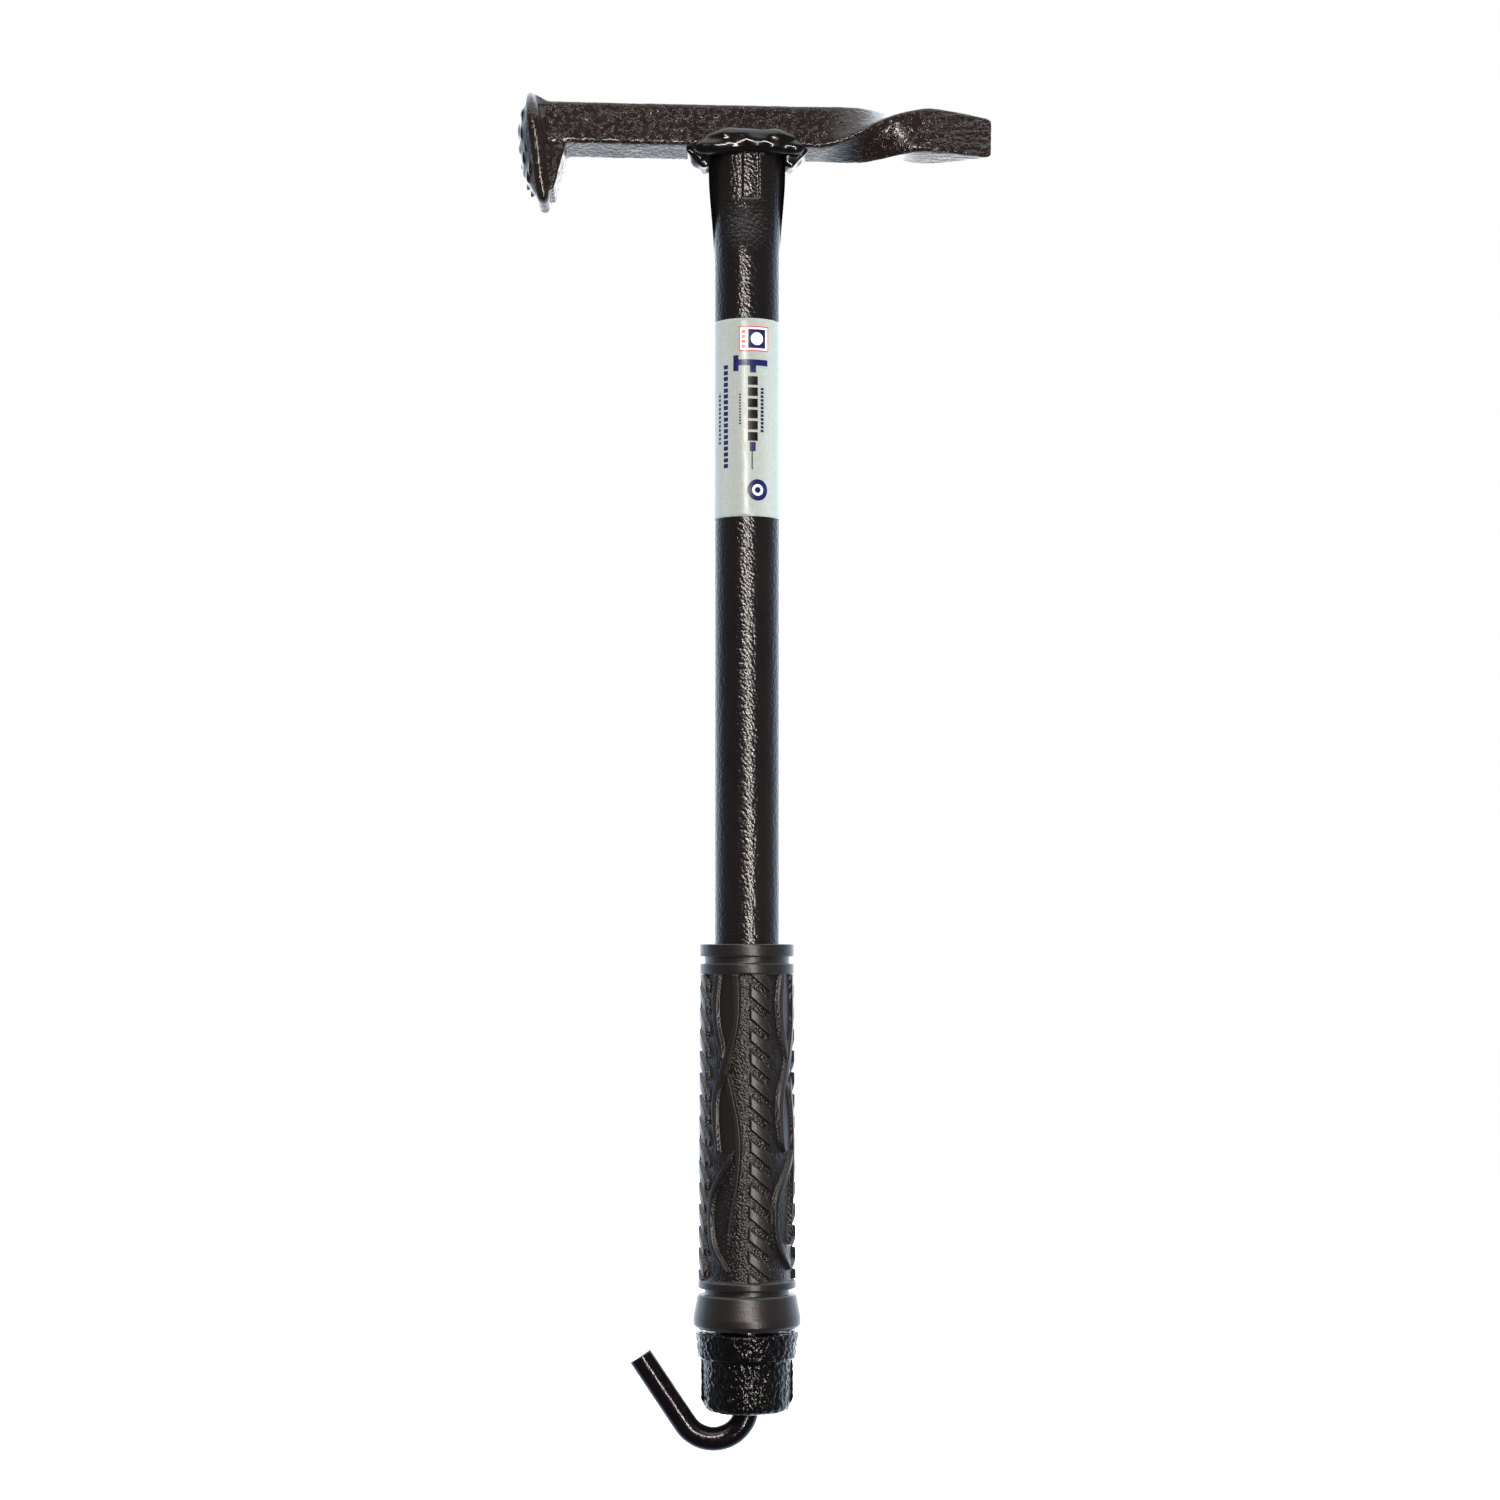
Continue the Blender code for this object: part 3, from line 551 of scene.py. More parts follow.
PIPE_BORE_R = 7.95
PIPE_STEPS = 240  # points round it, as in the other STEPS below
PIPE_HIDDEN_TOP = 0.8  # the weld hides the top of the CAD pipe, so this one ends lower
TOP_BEVEL = (0.4, 0.5)  # inwards and down
FIRST_FULL_ROW = 2  # the first row of points below that bevel
PRESSED_SPACING = 0.33  # between rows of points where the pipe is pressed
PLAIN_SPACING = 6.0
BORE_SPACING = 3.0
SQUASH_FOOT = 378.0
SQUASH_FULL = 408.0  # height from which its width is full
FLAT_FULL = 400.0  # height from which it is flat
SQUASH_HALF_WIDTH = 12.6
FLAT_CROWN_R = 22.0  # the pressed flats are still a little round
FLAT_CROWN_MIDDLE = 1.2
PRESS_FOOT = 398.5  # lower edge of the mark that the press left on each flat
PRESS_SIDES = (-1.4, 3.9)
PRESS_DEPTH = 0.38
PRESS_EDGE = 0.50  # half the width of the mark's sloping edges


def stadium(share, half_width, end_r):
    """Points and outward normals round a stadium long in X, at shares of its outline from +X on."""
    flat = half_width - end_r
    quarter = end_r * math.pi / 2
    steps = np.cumsum([0, quarter, 2 * flat, 2 * quarter, 2 * flat, quarter])
    travelled = (share % 1.0) * steps[-1]
    angle = np.interp(travelled, steps, np.array([0, 1, 1, 3, 3, 4]) * math.pi / 2)
    shift = np.interp(travelled, steps, np.array([1, 1, -1, -1, 1, 1]) * flat)
    normal = np.stack([np.cos(angle), np.sin(angle)], axis=-1)
    middle = normal * end_r
    middle[..., 0] += shift
    return middle, normal


def squashed(points):
    """Presses the top of the pipe flat, its mid-wall keeping its length."""
    middle_r = (PIPE_R + PIPE_BORE_R) / 2
    half_width = SQUASH_HALF_WIDTH - (PIPE_R - middle_r)
    end_r = (TAU * middle_r - 4 * half_width) / (TAU - 4)
    x, y, z = points[..., 0], points[..., 1], points[..., 2]
    out = np.hypot(x, y)
    middle, normal = stadium(np.arctan2(y, x) / TAU, half_width, end_r)
    flat = middle + normal * (out - middle_r)[..., None]
    pressed = np.stack([smoothstep(z, SQUASH_FOOT, full) for full in (SQUASH_FULL, FLAT_FULL)], axis=-1)
    made = points.copy()
    made[..., :2] = points[..., :2] * (1 - pressed) + flat * pressed
    return made


def press_marked(points):
    """Crowns both flats, and presses a shallow mark with a crisp lower edge into each."""
    x, y, z = points[..., 0], points[..., 1], points[..., 2]
    left, right = PRESS_SIDES
    crown = (x - FLAT_CROWN_MIDDLE) ** 2 / (2 * FLAT_CROWN_R)
    mark = smoothstep(z, PRESS_FOOT - PRESS_EDGE, PRESS_FOOT + PRESS_EDGE)
    mark *= smoothstep(x, left - PRESS_EDGE, left + PRESS_EDGE)
    mark *= smoothstep(x, right + PRESS_EDGE, right - PRESS_EDGE)
    floor = np.abs(y[FIRST_FULL_ROW]).max() - PRESS_DEPTH
    depth = np.abs(y) * (1 - mark) + floor * mark
    made = points.copy()
    made[..., 1] = np.sign(y) * (depth - crown * smoothstep(z, SQUASH_FOOT, FLAT_FULL))
    return made


def make_pipe(finish):
    top = extent("handle_pipe")[1].z - PIPE_HIDDEN_TOP
    inwards, down = TOP_BEVEL
    waist = (PIPE_R, SQUASH_FOOT - PLAIN_SPACING)
    pressed = refined([(PIPE_R - inwards, top), (PIPE_R, top - down), waist], PRESSED_SPACING)
    outer = pressed[:-1] + refined([waist, (PIPE_R, PIPE_FOOT)], PLAIN_SPACING)
    bore = refined([(PIPE_BORE_R, PIPE_FOOT), (PIPE_BORE_R, top)], BORE_SPACING)
    outside = press_marked(squashed(lathe(outer, PIPE_STEPS)))
    inside = squashed(lathe(bore, PIPE_STEPS))
    pipe = skin("pipe_tube", np.concatenate([outside, inside]))
    pipe.data.set_sharp_from_angle(angle=CRISP)
    add_finish(pipe, finish, "handle_pipe")


# ---- head

SHANK_RISE = 7.16  # from the shank's middle up to its top, along the handle's axis
SPIKE_AXIS = -cap_face / MM - SHANK_RISE  # height of the shank's middle there
SPIKE_LEAN = math.radians(1.2)
SPIKE_ROLL = math.radians(-7.5)
SHANK_HALF = 7.1
SHANK_SQUARENESS = 15  # exponent of the section's superellipse: its corners are rolled round
SHANK_FOOT = -68.5
SHANK_STEPS = 96
SHANK_RINGS = 260
TWIST = (23.0, 58.5)
TWIST_ANGLE = math.radians(-87.0)
TWIST_NECK = 0.08
CHISEL = (60.0, 80.6)
CHISEL_TIP = (0.11, 0.94)  # shares of the shank's thickness and height left at the tip
CHISEL_CURVE = 1.15  # exponent of the chisel's taper: its flats are a little full
CHISEL_SPREAD = 0.08  # share by which the bar has spread upwards where it is forged thin
SPREAD_RISE = (CHISEL[0] - 9, CHISEL[0] + 3)
SPREAD_FALL = (CHISEL[1] - 11, CHISEL[1])
TIP_LENGTH = 1.8
TIP_ROUND = 0.14  # share of the height that the rounded tip loses
SHOULDER = (-65.0, -69.6)  # places along the shank where its flare starts and ends
PLATE_BACK = -67.7
PLATE_LEAN = math.radians(-8.4)
PLATE_TOP = 12.0
PLATE_WIDEST = -2.0
PLATE_HALF_WIDTH = 13.6
PLATE_NOSE = -27.2
PLATE_NOSE_HALF = 6.9
PLATE_MIDDLE = -7.6  # height of the dome's top
PLATE_RIM = 4.5
RIM_CROWN = 0.15
RIM_THINNED = 0.25  # share by which the plate is thinner at its top
RIM_END = math.radians(75)  # angle of the rim's round where the dome begins
DOME_SHARE = 1 - RIM_CROWN * (1 - math.cos(RIM_END))  # share of the plate's outline there
DOME_FOOT = -PLATE_RIM / 2 * (1 + math.sin(RIM_END))
DOME_HEIGHT = 3.8
DOME_MARKS = 22
MARKED_SHARE = 0.76  # share of the plate's outline within which they lie
PLATE_STEPS = 200
PLATE_CLOSED = 0.02  # its faces are closed over a ring of this share of its outline
GUSSET = [(-59.2, -5.6), (-59.2, -7.1), (-62.8, -23.0), (-69.2, -23.0), (-69.2, -5.6)]
GOLDEN_ANGLE = math.radians(137.5)
PITTED = (4.0, -24.0)  # places along the shank between which the pits become full
PLATE_SMOOTHED = (-62, -66)  # and between which pits and scale fade on the plate
FORGED_WAVE = 0.12
SCALE_LEAST = 0.015
SCALE_ADDED = 0.04  # where the pits are full
PIT_DEPTH = 0.14
SPIKE_VOXEL = 0.38


def on_spike(point):
    """A point of the spike's own frame, X along its shank, placed in the hammer."""
    lean = Matrix.Rotation(SPIKE_LEAN, 4, "Y")
    roll = Matrix.Rotation(SPIKE_ROLL, 4, "X")
    return lean @ roll @ Vector(point) + Vector((0, 0, SPIKE_AXIS))


def on_plate(point):
    """A point of the struck plate's frame: X out of its back, Y across, Z up."""
    return on_spike(Matrix.Rotation(PLATE_LEAN, 4, "Y") @ Vector(point) + Vector((PLATE_BACK, 0, 0)))


def shoulder():
    """The flare where the shank runs into the back of the struck plate."""
    half = SHANK_HALF
    inner, low, high = half - 0.4, -half - 3, half + 2.6
    narrow = [(-inner, -inner), (inner, -inner), (inner, inner), (-inner, inner)]
    wide = [(-half - 3.2, low), (half + 3.2, low), (half - 1.2, high), (1.2 - half, high)]
    return prism([[on_spike((x, y, z)) for y, z in ring] for x, ring in zip(SHOULDER, (narrow, wide))])


def gusset():
    """The web that carries the overhanging nose of the struck plate."""
    half = SHANK_HALF - 0.3
    return prism([[on_spike((x, y, z)) for x, z in GUSSET] for y in (-half, half)])


def plate_outline():
    """Across and up at equal steps round the struck plate: a half-oval drawn in to a blunt nose."""
    rise = PLATE_TOP - PLATE_WIDEST
    quarter = np.linspace(0, math.pi / 2, 24)
    oval = [(PLATE_HALF_WIDTH * math.sin(a), PLATE_WIDEST + rise * math.cos(a)) for a in quarter]
    right = oval + rounded([oval[-1], (PLATE_NOSE_HALF, PLATE_NOSE), (0, PLATE_NOSE)], 2.5, 6)[1:]
    left = [(-y, z) for y, z in right[-2::-1]]
    loop = np.array(right + left)
    travelled = np.concatenate([[0], np.cumsum(np.hypot(*np.diff(loop, axis=0).T))])
    stops = np.arange(PLATE_STEPS) * travelled[-1] / PLATE_STEPS
    return np.interp(stops, travelled, loop[:, 0]), np.interp(stops, travelled, loop[:, 1])


def plate_ring(share, x, across, up):
    """Points of the plate at a share of its outline and a depth. The plate is thinner towards its top."""
    height = PLATE_MIDDLE + (up - PLATE_MIDDLE) * share
    thinned = 1 - RIM_THINNED * smoothstep(height, 0, PLATE_TOP)
    out = (x + PLATE_RIM / 2) * thinned - PLATE_RIM / 2
    return [tuple(on_plate(point)) for point in zip(out, across * share, height)]


def dome_depth(share):
    """Depth of the dome at a share of the plate's outline."""
    return DOME_FOOT - DOME_HEIGHT * (1 - (share / DOME_SHARE) ** 2)


def struck_plate():
    """The spike's struck end, a crowned rim round a shallow dome, as a closed mesh."""
    across, up = plate_outline()
    profile = [(share, 0.0) for share in (PLATE_CLOSED, 0.3, 0.6, 0.8)]
    for angle in np.linspace(math.radians(-80), RIM_END, 16):
        profile.append((1 - RIM_CROWN * (1 - math.cos(angle)), -PLATE_RIM / 2 * (1 + math.sin(angle))))
    for share in np.linspace(DOME_SHARE, PLATE_CLOSED, 18)[1:]:
        profile.append((share, dome_depth(share)))
    return ring_solid([plate_ring(share, x, across, up) for share, x in profile])


def fine_shank():
    """The square bar with its twist and chisel, as a closed mesh."""
    turn = np.arange(SHANK_STEPS) * TAU / SHANK_STEPS
    power = SHANK_SQUARENESS
    out = (np.abs(np.cos(turn)) ** power + np.abs(np.sin(turn)) ** power) ** (-1 / power)
    section = np.stack([out * np.cos(turn), out * np.sin(turn)]) * SHANK_HALF
    rings = []
    for x in np.linspace(SHANK_FOOT, CHISEL[1], SHANK_RINGS):
        turned = float(smoothstep(x, *TWIST))
        drawn_in = 1 - TWIST_NECK * 4 * turned * (1 - turned)
        drawn = max(0.0, (x - CHISEL[0]) / (CHISEL[1] - CHISEL[0])) ** CHISEL_CURVE
        end = 1 - TIP_ROUND * max(0.0, 1 - (CHISEL[1] - x) / TIP_LENGTH) ** 2
        spread = 1 + CHISEL_SPREAD * float(smoothstep(x, *SPREAD_RISE))
        spread -= CHISEL_SPREAD * float(smoothstep(x, *SPREAD_FALL))
        angle = TWIST_ANGLE * turned
        across = math.cos(angle) * section[0] - math.sin(angle) * section[1]
        upward = math.sin(angle) * section[0] + math.cos(angle) * section[1]
        across = across * drawn_in * (1 - drawn * (1 - CHISEL_TIP[0]))
        upward = upward * drawn_in * (1 - drawn * (1 - CHISEL_TIP[1])) * end
        upward = np.where(upward > 0, upward * spread, upward)
        rings.append([tuple(on_spike((x, y, z))) for y, z in zip(across, upward)])
    return ring_solid(rings[::-1])


def worn_marks():
    """Low shapeless lumps over the dome, worn down by striking."""
    across, up = plate_outline()
    marks = []
    for i in range(DOME_MARKS):
        share = MARKED_SHARE * math.sqrt((i + 0.5) / DOME_MARKS)
        k = round(i * GOLDEN_ANGLE / TAU * PLATE_STEPS) % PLATE_STEPS
        place = plate_ring(share, dome_depth(share), across[k : k + 1], up[k : k + 1])[0]
        swell = noise.noise(Vector((i * 0.7, 3.0, 0.0)))
        marks.append(blob(place, 1.9 + 0.9 * swell, (0.17, 0.7 + 0.4 * swell, 1.2)))
    return marks


def forged(point):
    """Height of the forged surface's waves, scale and pits."""
    rough = float(smoothstep(point.x, *PITTED))
    plate = float(smoothstep(point.x, *PLATE_SMOOTHED))
    scale = (SCALE_LEAST + SCALE_ADDED * rough) * grain(point, 1.3, 3, 5.0)
    pits = PIT_DEPTH * rough * min(0.0, grain(point, 2.0, 2, 9.0) + 0.3)
    return FORGED_WAVE * grain(point, 9, 2) + (1 - 0.8 * plate) * (scale + pits)


def make_spike(finish):
    solids = [struck_plate(), gusset(), shoulder(), fine_shank()]
    spike = remeshed("railroad_spike", solids + worn_marks(), SPIKE_VOXEL, 3)
    soften(spike, 4, lambda points: 1 - smoothstep(points[:, 0], -65, -61))  # the struck plate only
    roughen(spike, forged)
    add_finish(spike, finish, "spike_head")


# ---- welds

WELD_VOXEL = 0.3
WELD_SMOOTHING = 24
BEAD_STEP = 0.22  # from one blob to the next, as a share of their radius
BEAD_SWELL = 0.30  # share by which the radius varies
SWELL_LENGTH = 5.0
BEAD_TAPER = 0.45  # share of the radius that is lost at a pass's ends
BEAD_UNEVEN = 0.42
FILLET_HALF_WIDTH = 5.6


def laid_bead(name, base, passes, drift):
    """Weld metal laid over some base solids in passes of (start, end, rise at the middle, radius)."""
    solids = list(base)
    for start, end, rise, radius in passes:
        start, end = Vector(start), Vector(end)
        length = (end - start).length
        count = max(2, round(length / (radius * BEAD_STEP)))
        for i in range(count + 1):
            t = i / count
            place = start.lerp(end, t) + Vector((0, 0, rise * math.sin(math.pi * t)))
            swell = noise.noise(Vector((t * length / SWELL_LENGTH, drift, radius)))
            taper = 1 - BEAD_TAPER * abs(2 * t - 1) ** 4
            solids.append(blob(place, radius * (1 + BEAD_SWELL * swell) * taper))
    bead = remeshed(name, solids, WELD_VOXEL, WELD_SMOOTHING)
    roughen(bead, lambda point: BEAD_UNEVEN * grain(point, 5.0, 1, drift))
    return bead


def corner_fillet(side):
    """Weld metal filling the corner under the shank, at the pipe's left (-1) or right (+1) end."""
    profile = [(12.0, 417.0), (12.2, 410.0), (14.6, 408.8), (20.0, 414.4), (20.2, 415.6)]
    return prism([[(side * x, y, z) for x, z in profile] for y in (-FILLET_HALF_WIDTH, FILLET_HALF_WIDTH)])


def make_welds(finish):
    front = [
        ((-12.5, -7.5, 418.0), (14.5, -7.5, 417.8), 0.8, 3.1),
        ((-16.0, -7.0, 415.2), (2.0, -8.3, 417.0), -0.4, 3.0),
        ((-5.0, -8.3, 417.2), (17.0, -7.0, 414.8), 0.2, 3.0),
        ((9.4, -7.6, 420.5), (10.8, -7.1, 424.4), 0.0, 0.6),  # a thin run up the shank
    ]
    rear = [
        ((-15.0, 7.0, 415.4), (15.5, 7.0, 415.2), -0.6, 2.9),
        ((-11.0, 6.6, 418.2), (11.0, 6.6, 418.0), 0.4, 2.3),
    ]
    right = [((16.0, -2.6, 413.2), (16.0, 5.6, 412.8), 0.0, 2.3)]
    left = [((-15.6, -5.2, 412.4), (-16.0, 5.6, 413.0), 0.0, 2.9)]
    beads = [
        ("front", [], front, 1.0),
        ("rear", [], rear, 4.0),
        ("right", [corner_fillet(1)], right, 7.0),
        ("left", [corner_fillet(-1)], left, 11.0),
    ]
    for side, base, passes, drift in beads:
        bead = laid_bead("weld_" + side, base, passes, drift)
        add_finish(bead, finish, "weld_bead_" + side)


# ---- label

LABEL_SEAM = math.radians(6)  # width of the gap at the back
LABEL_SUNK = 0.05  # how far its inner face lies under the pipe's skin
LABEL_LIP = 0.06
LABEL_STEPS = 241


def make_label(finish):
    low, high = extent("label_wrap")
    outer_r = high.y
    inner_r = PIPE_R - LABEL_SUNK
    lip = LABEL_LIP
    heights = [low.z + lip] + list(np.linspace(low.z + 1, high.z - 1, 120)) + [high.z - lip]
    outer = [(outer_r - lip, high.z)] + [(outer_r, z) for z in reversed(heights)] + [(outer_r - lip, low.z)]
    inner = [(inner_r, low.z), (inner_r, high.z)]
    radius, height = np.array(outer + inner).T
    turn = np.linspace(-math.pi + LABEL_SEAM / 2, math.pi - LABEL_SEAM / 2, LABEL_STEPS)
    x = np.sin(turn)[:, None] * radius
    y = -np.cos(turn)[:, None] * radius
    z = np.repeat(height[None, :], len(turn), axis=0)
    label = skin("label_film", np.stack([x, y, z], axis=-1), closed=False)
    label.data.flip_normals()
    place = vertex_array(label.data)
    spread = np.arctan2(place[:, 0], -place[:, 1]) * outer_r
    set_attribute(label.data, "across", spread)
    set_attribute(label.data, "up", place[:, 2] - low.z)
    label.data.set_sharp_from_angle(angle=CRISP)
    add_finish(label, finish, "label_wrap")


# ---- grip

GROOVE_R = 14.0
UPPER_RING_R = 15.5
LOWER_RING_R = 16.2
UPPER_RING = (144.4, 147.6)
UPPER_GROOVE_TOP = 150.0
LOWER_RING = (40.8, 43.3)
SKIRT_TOP = 38.7
SKIRT_TOP_R = 16.3
GROUND_R = (14.4, 14.0)  # between the raised shapes, at the foot and the top of the moulded field
RAISED_R = (16.1, 15.5)
QUARTER = 90.0  # the pattern repeats four times round the grip
PATTERN_LEFT = -72.0  # degrees from the front to the left edge of a repeat
BLOCK_CENTRE = 17.7  # degrees from the front to the middle of a column of slanted blocks
BLOCK_DRIFT = 2.7  # degrees that the column leans to the left at its foot
BLOCK_DRIFT_OVER = (50, 90)  # heights between which it does
BLOCK_PITCH = 7.2
BLOCK_FILL = 0.55
BLOCK_SLOPE = 0.80
BLOCK_HALF_WIDTH = 13.4
BLOCK_TOP = 136.8
BLOCK_CORNER_R = 1.8
EDGE_RUN = 0.32  # width of the moulded shapes' sloping sides
LEAF_RISE = 0.18
LEAF_SMOOTH = 0.75
PER_DEGREE = math.radians(1) * RAISED_R[1]  # millimetres round the grip
GRIP_STEPS = 440
GRIP_ROWS = 430  # rows of points in the moulded field

# Ribs as (height, degrees from the front, width in degrees), top to bottom.
RIBS = [
    [(144.6, -14.8, 9.0), (134.8, -12.9, 8.2), (127.7, -14.3, 7.4), (120.2, -21.5, 9.0), (111.4, -32.9, 9.6),
     (106.0, -41.2, 8.8), (98.0, -43.9, 8.4), (92.5, -42.2, 7.0), (88.6, -39.6, 5.0), (85.8, -36.0, 0.8)],
    [(144.6, -39.0, 8.7), (134.8, -43.8, 9.0), (127.5, -41.5, 8.2), (120.5, -34.8, 7.5), (116.5, -31.5, 2.0)],
    [(111.3, -23.5, 1.0), (108.0, -23.2, 6.5), (103.2, -19.2, 6.9), (98.7, -15.4, 7.0), (93.8, -12.3, 7.0),
     (86.0, -11.0, 7.0), (78.0, -12.6, 5.6), (66.4, -18.9, 3.8), (55.6, -25.5, 1.0)],
    [(86.3, -17.0, 1.5), (83.0, -22.5, 7.5), (77.8, -35.6, 9.0), (72.0, -48.3, 8.2), (66.0, -52.2, 7.2),
     (60.0, -51.0, 7.0), (54.0, -44.5, 8.0), (50.5, -34.5, 7.0), (47.2, -24.0, 3.0)],
]


def eased(value, knots, values):
    """Values at the knots joined by a curve that keeps its slope from one stretch to the next."""
    slopes = np.gradient(values, knots)
    k = np.clip(np.searchsorted(knots, value) - 1, 0, len(knots) - 2)
    step = knots[k + 1] - knots[k]
    t = np.clip((value - knots[k]) / step, 0, 1)
    rise = (1 + 2 * t) * (1 - t) ** 2 * values[k] + t * t * (3 - 2 * t) * values[k + 1]
    return rise + step * (t * (1 - t) ** 2 * slopes[k] - t * t * (1 - t) * slopes[k + 1])


def rib_depth(turn, z, rib):
    """How far inside a rib's edge each point is. Negative is outside."""
    heights, middles, widths = np.array(rib[::-1], float).T
    middle = eased(z, heights, middles)
    slant = (eased(z + 0.5, heights, middles) - eased(z - 0.5, heights, middles)) * PER_DEGREE
    upright = 1 / np.sqrt(1 + slant**2)
    inside = (eased(z, heights, widths) / 2 - np.abs(turn - middle)) * PER_DEGREE * upright
    return np.minimum(inside, np.minimum(z - heights[0], heights[-1] - z))


def block_depth(turn, z):
    """How far inside the slanted blocks' edges each point is."""
    centre = BLOCK_CENTRE - BLOCK_DRIFT * (1 - smoothstep(z, *BLOCK_DRIFT_OVER))
    beside = (turn - centre + QUARTER / 2) % QUARTER - QUARTER / 2
    run = (beside + BLOCK_HALF_WIDTH) * PER_DEGREE
    width = 2 * BLOCK_HALF_WIDTH * PER_DEGREE
    level = (z + BLOCK_SLOPE * run - BLOCK_TOP) % BLOCK_PITCH
    squareness = 1 / math.hypot(1, BLOCK_SLOPE)
    above = level * squareness
    below = (BLOCK_FILL * BLOCK_PITCH - level) * squareness
    right = width - run
    past = [np.maximum(0, BLOCK_CORNER_R - edge) for edge in (right, below)]
    corner = BLOCK_CORNER_R - np.hypot(*past)
    return np.minimum.reduce([run, right, above, below, corner])


def leaf(turn, z, left_rib, right_rib):
    """1 between two ribs, where the ground is moulded smooth and a little higher."""
    (left_z, left, _), (right_z, right, _) = (np.array(rib[::-1], float).T for rib in (left_rib, right_rib))
    past_left = turn - eased(z, left_z, left)
    past_right = eased(z, right_z, right) - turn
    within = (z > max(left_z[0], right_z[0])) & (z < min(left_z[-1], right_z[-1]))
    return within * smoothstep(np.minimum(past_left, past_right), 0.0, 1.0)


def grip_relief(angle, z):
    """Relief from 0 on the ground to 1 on the raised shapes, and the rubber's smoothness from 0 to 1."""
    turn = (np.degrees(angle) - PATTERN_LEFT) % QUARTER + PATTERN_LEFT
    depth = block_depth(turn, z)
    for rib in RIBS:
        depth = np.maximum(depth, rib_depth(turn, z, rib))
    raised = smoothstep(depth, -EDGE_RUN / 2, EDGE_RUN / 2)
    leaves = np.maximum(leaf(turn, z, RIBS[1], RIBS[0]), leaf(turn, z, RIBS[0], RIBS[2]))
    return np.maximum(raised, LEAF_RISE * leaves), np.maximum(raised, LEAF_SMOOTH * leaves)


def make_grip(finish):
    low, high = extent("grip_sleeve")
    skirt_r = high.x
    bore_r = PIPE_R + 0.2
    field_foot, field_top = LOWER_RING[1], UPPER_RING[0]
    head = rounded(
        [
            (bore_r, high.z), (UPPER_RING_R, high.z),
            (UPPER_RING_R, UPPER_GROOVE_TOP), (GROOVE_R, UPPER_GROOVE_TOP),
            (GROOVE_R, UPPER_RING[1]), (UPPER_RING_R, UPPER_RING[1]),
            (UPPER_RING_R, field_top), (GROUND_R[1], field_top - 0.3),
        ],
        0.35,
    )
    foot = rounded(
        [
            (GROUND_R[0], field_foot + 0.3), (LOWER_RING_R, field_foot),
            (LOWER_RING_R, LOWER_RING[0]), (GROOVE_R, LOWER_RING[0]),
            (GROOVE_R, SKIRT_TOP), (SKIRT_TOP_R, SKIRT_TOP),
            (skirt_r, low.z + 3.6), (skirt_r, low.z + 1.2),
            (skirt_r - 1.2, low.z), (bore_r, low.z),
        ],
        0.5,
    )
    above = refined(head, 0.6)[:-1]
    field = np.linspace(field_top - 0.5, field_foot + 0.5, GRIP_ROWS)
    bore = refined([(bore_r, low.z), (bore_r, high.z)], 8)[1:-1]
    outline = above + [(GROUND_R[1], z) for z in field] + refined(foot, 0.6)[1:] + bore
    points = lathe(outline, GRIP_STEPS)

    angle = np.arange(GRIP_STEPS) * TAU / GRIP_STEPS
    z = field[:, None]
    relief, field_smooth = grip_relief(angle[None, :], z)
    share = (z - field_foot) / (field_top - field_foot)
    ground = GROUND_R[0] + (GROUND_R[1] - GROUND_R[0]) * share
    crest = RAISED_R[0] + (RAISED_R[1] - RAISED_R[0]) * share
    radius = ground + (crest - ground) * relief
    rows = slice(len(above), len(above) + GRIP_ROWS)
    points[rows, :, 0] = radius * np.sin(angle)
    points[rows, :, 1] = -radius * np.cos(angle)
    smooth = np.ones(points.shape[:2])
    smooth[rows] = field_smooth
    grip = skin("rubber_grip", points)
    set_attribute(grip.data, "smooth", smooth)
    add_finish(grip, finish, "grip_sleeve")


# ---- end cap

CAP_STEPS = 300
CAP_FOOT_R = 14.3
CAP_FOOT_ROUND = 2.6
CAP_BODY_R = 14.7
CAP_BAND_FOOT = 17.8
CAP_BAND_FOOT_R = 16.2
CAP_FLOOR = 5.5
CAP_HOLE_R = 4.8
CAP_THREAD_DEPTH = 0.8
RIB_REACH = 15.3
RIB_HALF_WIDTH = 1.6
RIB_EDGE = 0.35  # half the width of a rib's sloping sides


def cast(point):
    """Height of the casting's rough skin, which fades out inside the cap."""
    exposed = float(smoothstep(math.hypot(point.x, point.y), PIPE_R - 0.6, PIPE_R + 1.2))
    return exposed * (0.20 * grain(point, 1.7, 2, 3.0) + 0.14 * grain(point, 5, 2, 6.0) - 0.12)


